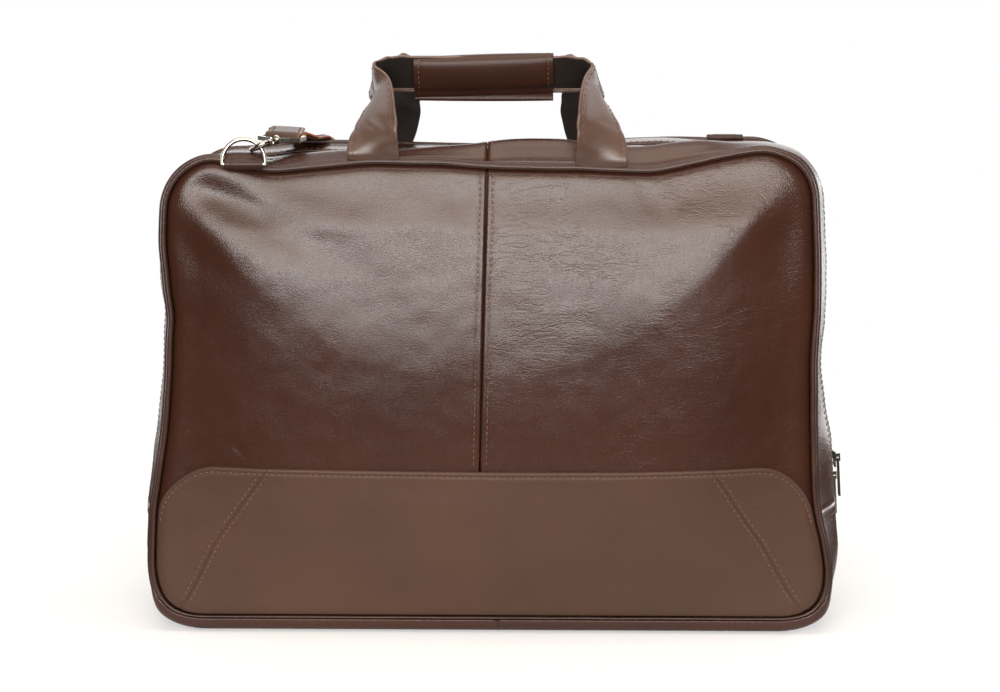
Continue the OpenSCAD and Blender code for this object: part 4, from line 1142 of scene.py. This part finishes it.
TAB_X, TAB_W, TAB_T, BAR_Y, BAR_Z, CORD_Y = 159.0, 24.0, 1.6, -58.7, 317.0, -52.4
tab_top = TOP_Z - float(sag(TAB_X))
line = np.vstack([
    (CORD_Y + 4.2, tab_top + 2.3), arc((CORD_Y, tab_top), 4.0, 40, 150, 9),
    arc((BAR_Y, BAR_Z), 2.7, 60, 340, 16), (BAR_Y + 3.2, BAR_Z - 2.0),
])
for mirror, name in COVERS:
    path = through(xyz(-TAB_X * mirror, line[:, 0] * mirror, line[:, 1]), 60)
    rings = sweep_strap(path, np.array([1.0, 0, 0]), TAB_W, TAB_T)[0]
    # The tab uses the grip's darker leather, whose darkness is painted shade
    skin(f"{name}_tab_leather", rings, painted_shade_grip_leather, f"{name}_cover", "handle_leather", f"{name}_ring_tab")
print("tab loop points", len(line))

# %% Strap ends
EYE_BAR, END_L, WEB_W, WEB_T = 27.7, 24.0, 25.0, 2.4
FRONT_HOOK = np.array([-147.356, -52.264, 328.937])
REAR_HOOK = np.array([159.0, 66.846, 298.996])
end_line = np.vstack([
    (EYE_BAR + END_L, 1.35), (EYE_BAR + 4.0, 1.5), arc((EYE_BAR, 0), 2.75, 75, 285, 15),
    (EYE_BAR + 4.0, -1.5), (EYE_BAR + END_L, -1.35),
])


def straight_back(points):
    """The strap pulls straight back, so its end is skewed on the eye's bar."""
    moved = np.array(points, float)
    moved[..., 0] -= 0.44 * np.maximum(moved[..., 1] - EYE_BAR, 0)
    return moved


def turn(axis, degrees):
    """The matrix that turns about an axis through the origin."""
    x, y, z = axis
    cross = np.array([[0, -z, y], [z, 0, -x], [-y, x, 0]])
    a = math.radians(degrees)
    return np.eye(3) + math.sin(a) * cross + (1 - math.cos(a)) * cross @ cross


def strap_skin(name, rings, raw, body, node):
    """A length of the shoulder strap; its cut edges and ends show raw fibre."""
    skin(
        name, rings, [strap_leather, raw_edge], body, "strap_leather", node,
        marks=raw * np.roll(raw, -1), cap=1, wrinkle=0.2,
    )


front_turn = turn((0, 0, 1), -25) @ turn((1, 0, 0), 4)
for name, origin, turned, skew in (
    ("front", FRONT_HOOK, front_turn, straight_back), ("rear", REAR_HOOK, turn((1, 0, 0), -90), np.array)
):
    path = through(xyz(0.0, end_line[:, 0], end_line[:, 1]), 90)
    rings, a, b, raw = sweep_strap(path, np.array([1.0, 0, 0]), WEB_W, WEB_T - 0.1)
    rings = skew(rings) @ turned.T + origin
    strap_skin(f"{name}_strap_end_leather", rings, raw, f"{name}_strap_eye", f"{name}_strap_end")
    y = np.linspace(EYE_BAR + 4, EYE_BAR + END_L - 1, 20)
    for face, label in ((-1, "under"), (1, "top")):
        for edge, tag in ((-1, "b"), (1, "a")):
            line = xyz(edge * (WEB_W / 2 - EDGE_ROW), y, face * (1.4 + WEB_T / 2))
            stitches(
                f"{name}_end_{label}_{tag}", skew(line) @ turned.T + origin, turned @ [0, 0, face],
                f"{name}_strap_eye", "strap_leather", lift=0.2,
            )

# %% Shoulder strap
start = FRONT_HOOK + front_turn @ [0, EYE_BAR + END_L + 1.8, 0]
OVER_Y = 52.4 * 0.84
back_x, back_y = REAR_HOOK[:2]
run_x, over_z = start[0] + 7.0, start[2] - 3.6
top_path = [
    start - (10.4, -0.6, 0.6), start - (10.6, -6, 2.6), (run_x - 12, OVER_Y * 0.39, start[2] - 7.2),
    (run_x - 11, OVER_Y * 0.62, start[2] - 8.8), (run_x - 9, OVER_Y, over_z - 6.5),
]
top_wide = [(1, -0.3, 0), (1, -0.15, 0), (1, 0, 0), (1, 0.05, 0), (1, 0.08, 0)]
LOOP_Z, LOOP_R, LOOP_MID = 245.5, (back_x - run_x) / 2, (back_x + run_x) / 2
LOOP_DROP, BEND = LOOP_Z - SEAM_Z - WEB_W / 2 - 3, WEB_W * 1.12
a = np.radians(np.linspace(180, 360, 15))
back_path = np.vstack([
    (run_x - 9, OVER_Y + 0.6, over_z - 6.5), (run_x - 7, back_y - BEND * 0.5, over_z - 8),
    (run_x - 4, back_y - BEND * 0.21, over_z - 12.5), (run_x - 1, back_y - BEND * 0.05, over_z - 20),
    (run_x, back_y, over_z - BEND),
    xyz(LOOP_MID + LOOP_R * np.cos(a), back_y, LOOP_Z + LOOP_DROP * np.sin(a)),
])
back_wide = np.vstack([[(1, 0, 0)] * 5, xyz(-LOOP_DROP * np.cos(a), 0, -LOOP_R * np.sin(a))])
for label, knots, wides, count, body in (
    ("top", top_path, top_wide, 60, "bag_base"), ("back", back_path, back_wide, 330, "rear_cover")
):
    route = through(np.hstack([knots, unit(np.array(wides, float))]), count)
    path = route[:, :3]
    rings, a, b, raw = sweep_strap(path, route[:, 3:], WEB_W, WEB_T)
    strap_skin(f"shoulder_strap_{label}", rings, raw, body, f"strap_{label}_run")
    for edge, tag in ((-1, "b"), (1, "a")):
        for face, level in ((-1, "low"), (1, "up")):
            line = path + a * edge * (WEB_W / 2 - EDGE_ROW) + b * face * (WEB_T / 2 + 0.05)
            stitches(f"shoulder_{label}_{tag}_{level}", line, b * face, body, "strap_leather", lift=0.2)
print("strap run", round(float(run_of(path)[-1])), "mm")

# %% [markdown]
# ## Inside
# The covers are lined, and a padded divider with a laptop sleeve stands between the two
# compartments. They show only when a cover is folded down, but then they have to look right.


# %% Linings and pads
def front_lining_face(x, z):
    behind = np.minimum(front_face(x, z) - 3.2, 51.1 + 9 * (1 - ((z - 169) / 153) ** 2))
    return behind + 0.4 * field(x, 9, z, 22.0, 2.0)


def rear_lining_face(x, z):
    return rear_face(x, z) - 3.2 + 0.4 * field(x, 9, z, 22.0, 6.0)


rows = levels(SEAM_Z + 1, BODY_H, 6.0, 4.0)
half = half_width(rows, 6.0)
for name, face, place in (("front", front_lining_face, np.array), ("rear", rear_lining_face, rear)):
    rings = slouch(place(sheet_rings(rows, -half, half, 90, face, 2.6)))
    skin(f"{name}_lining_cloth", rings, lining_cloth, f"{name}_cover", "lining_fabric", f"{name}_lining")

PAD_FOOT, SLEEVE_HALF, SLEEVE_H, SLEEVE_GAP, SLEEVE_PAD = 5.4, 196.0, 240.0, 28.0, 4.0


def pad(high, thick, y, crown, half_at):
    """A padded sheet that stands upright, crowned between its bound edges."""
    z = (PAD_FOOT + (high - PAD_FOOT) * spread(46))[:, None]
    half = half_at(z)
    x = -half + 2 * half * spread(70)
    edge = np.minimum(half - np.abs(x), np.minimum(z - PAD_FOOT, high - z))
    puff = smooth(edge / 14) * crown + (smooth(edge / 3) - 1) * thick * 0.35
    return closed(xyz(x, y - thick / 2 - puff, z), xyz(x, y + thick / 2 + puff, z))


def divider_half(z):
    return half_width(np.clip(z, 30, TOP_Z - 3), 2.4)


rings = pad(TOP_Z - 6, 4.0, 0.0, 0.9, divider_half)
made = skin("divider_pad", rings, lining_cloth, "bag_base", "lining_fabric", "divider_panel")
sleeve_y = 3.3 + SLEEVE_GAP + SLEEVE_PAD / 2
parts = [pad(PAD_FOOT + SLEEVE_H, SLEEVE_PAD - 1.6, sleeve_y, 0.8, lambda z: SLEEVE_HALF)]
# The sleeve's side walls bow out a little
y = 3.6 + (SLEEVE_GAP + 1.2) * np.linspace(0, 1, 8)
z = (PAD_FOOT + SLEEVE_H * spread(30))[:, None]
bow = 0.5 * np.sin(np.linspace(0, math.pi, 8))
for side in (-1, 1):
    outer = xyz(side * (SLEEVE_HALF - 0.2 + bow), y, z)
    parts.append(closed(outer, xyz(side * (SLEEVE_HALF - 3.4), y, z)))
verts, faces = np.zeros((0, 3)), []
for part in parts:
    faces += ring_faces(*part.shape[:2], first=len(verts))
    verts = np.vstack([verts, part.reshape(-1, 3)])
made = mesh_piece("laptop_sleeve_pad", verts, faces, lining_cloth)
fix(made, "bag_base", "lining_fabric", "laptop_sleeve")

# %% [markdown]
# ## Metal and board
# The rigid fittings of the frame keep their shapes and get their finish here.

# %% Finish of the frame's own nodes
FITTINGS = ("_slider", "_pull", "_ring", "_hook", "_gate", "_eye", "_buckle")
METAL = [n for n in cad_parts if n.endswith(FITTINGS)]
for node in METAL + ["bottom_board"]:
    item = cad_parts[node]
    item.data.materials.clear()
    item.data.materials.append(nickel if node in METAL else board)
print("metal nodes", METAL)

# %% [markdown]
# ## Studio
# The floor is white paper. Near the bag it also lights the leather from below; further out it is
# nearly black for reflections, as if the table ended there. Two wide soft boxes behind the camera
# make the broad shine on the upper front, one overhead lights the handles, and weaker ones light the
# sides and the rear. Two low boxes close to the sides draw the pale line on the gusset's edges.

# %% Floor and world
FLOOR = 12
mesh = bpy.data.meshes.new("studio_floor")
corners = [(-FLOOR, -FLOOR, 0), (FLOOR, -FLOOR, 0), (FLOOR, FLOOR, 0), (-FLOOR, FLOOR, 0)]
mesh.from_pydata(corners, [], [(0, 1, 2, 3)])
floor = bpy.data.objects.new("studio_floor", mesh)
bpy.context.scene.collection.objects.link(floor)
finish, tree, place = new_finish("white_paper_floor")
far = add(tree, "ShaderNodeVectorMath", {0: place}, operation="LENGTH").outputs["Value"]
tone = mixed(tree, ramp(tree, far, 0.2, 0.44, 1.0, 0.03), (0, 0, 0, 1), (0.8, 0.8, 0.8, 1))
real = add(tree, "ShaderNodeBsdfDiffuse", {"Color": tone})
seen_paper = add(tree, "ShaderNodeBsdfDiffuse", {"Color": (0.62, 0.62, 0.62, 1)})
glow = add(tree, "ShaderNodeEmission", {"Color": (1, 1, 1, 1), "Strength": 0.4})
seen = add(tree, "ShaderNodeAddShader", {0: seen_paper.outputs[0], 1: glow.outputs[0]})
# Far from the bag the camera sees plain white
blank = add(tree, "ShaderNodeEmission", {"Color": (1, 1, 1, 1), "Strength": 1.0})
fade = {0: ramp(tree, far, 0.42, 0.75), 1: seen.outputs[0], 2: blank.outputs[0]}
paper = add(tree, "ShaderNodeMixShader", fade)
direct = add(tree, "ShaderNodeLightPath").outputs["Is Camera Ray"]
both = add(tree, "ShaderNodeMixShader", {0: direct, 1: real.outputs[0], 2: paper.outputs[0]})
add(tree, "ShaderNodeOutputMaterial", {"Surface": both.outputs[0]})
mesh.materials.append(finish)

world = bpy.data.worlds.new("studio_world")
bpy.context.scene.world = world
world.use_nodes = True
tree = world.node_tree
tree.nodes.clear()
path = add(tree, "ShaderNodeLightPath").outputs
seen = maths(tree, "MAXIMUM", path["Is Camera Ray"], path["Is Transmission Ray"])
# A white backdrop stands behind the bag; in front of it the room is dark apart from the lamps
heading = add(tree, "ShaderNodeSeparateXYZ", {0: add(tree, "ShaderNodeTexCoord").outputs["Generated"]})
backdrop = ramp(tree, heading.outputs[1], 0.0, 0.35, 0.05, 1.1)
room = {"Factor": path["Is Glossy Ray"], "A": 0.2, "B": backdrop}
lit = add(tree, "ShaderNodeMix", room, data_type="FLOAT")
strength = maths(tree, "MAXIMUM", seen, lit.outputs[0])
sky = add(tree, "ShaderNodeBackground", {"Color": (1, 1, 1, 1), "Strength": strength})
add(tree, "ShaderNodeOutputWorld", {"Surface": sky.outputs[0]})

# %% Lamps
# Name, place, target, size in metres, how bright the face is, and colour
LAMPS = (
    ("front", (-0.1, -2.3, 0.51), (-0.1, 0, 0.51), (2.1, 0.46), 11.4, (1, 1, 1)),
    ("upper_front", (-0.1, -2.3, 1.27), (-0.1, 0, 1.27), (2.1, 1.0), 6.3, (1.0, 0.9, 0.78)),
    ("overhead", (0.0, -0.4, 1.7), (0, 0, 0.25), (1.7, 1.1), 3.2, (1.0, 0.86, 0.74)),
    ("right", (1.9, 0.1, 0.55), (0, 0, 0.2), (1.1, 1.1), 2.6, (1, 1, 1)),
    ("left", (-1.9, 0.1, 0.55), (0, 0, 0.2), (1.1, 1.1), 1.6, (1, 1, 1)),
    ("rear", (0.2, 2.2, 1.1), (0, 0, 0.2), (1.6, 1.4), 1.2, (1, 1, 1)),
    ("right_edge", (0.68, 0.5, 0.19), (0.235, 0, 0.15), (0.34, 0.34), 4.5, (1, 1, 1)),
    ("left_edge", (-0.68, 0.5, 0.19), (-0.235, 0, 0.15), (0.34, 0.34), 3.5, (1, 1, 1)),
)
for name, place, target, size, radiance, colour in LAMPS:
    data = bpy.data.lights.new(name + "_soft_box", "AREA")
    data.shape = "RECTANGLE"
    data.size, data.size_y = size
    data.color = colour
    data.energy = radiance * math.pi * size[0] * size[1]
    lamp = bpy.data.objects.new(name + "_soft_box", data)
    lamp.location = place
    lamp.rotation_euler = (Vector(target) - Vector(place)).to_track_quat("-Z", "Y").to_euler()
    lamp.visible_camera = False
    bpy.context.scene.collection.objects.link(lamp)
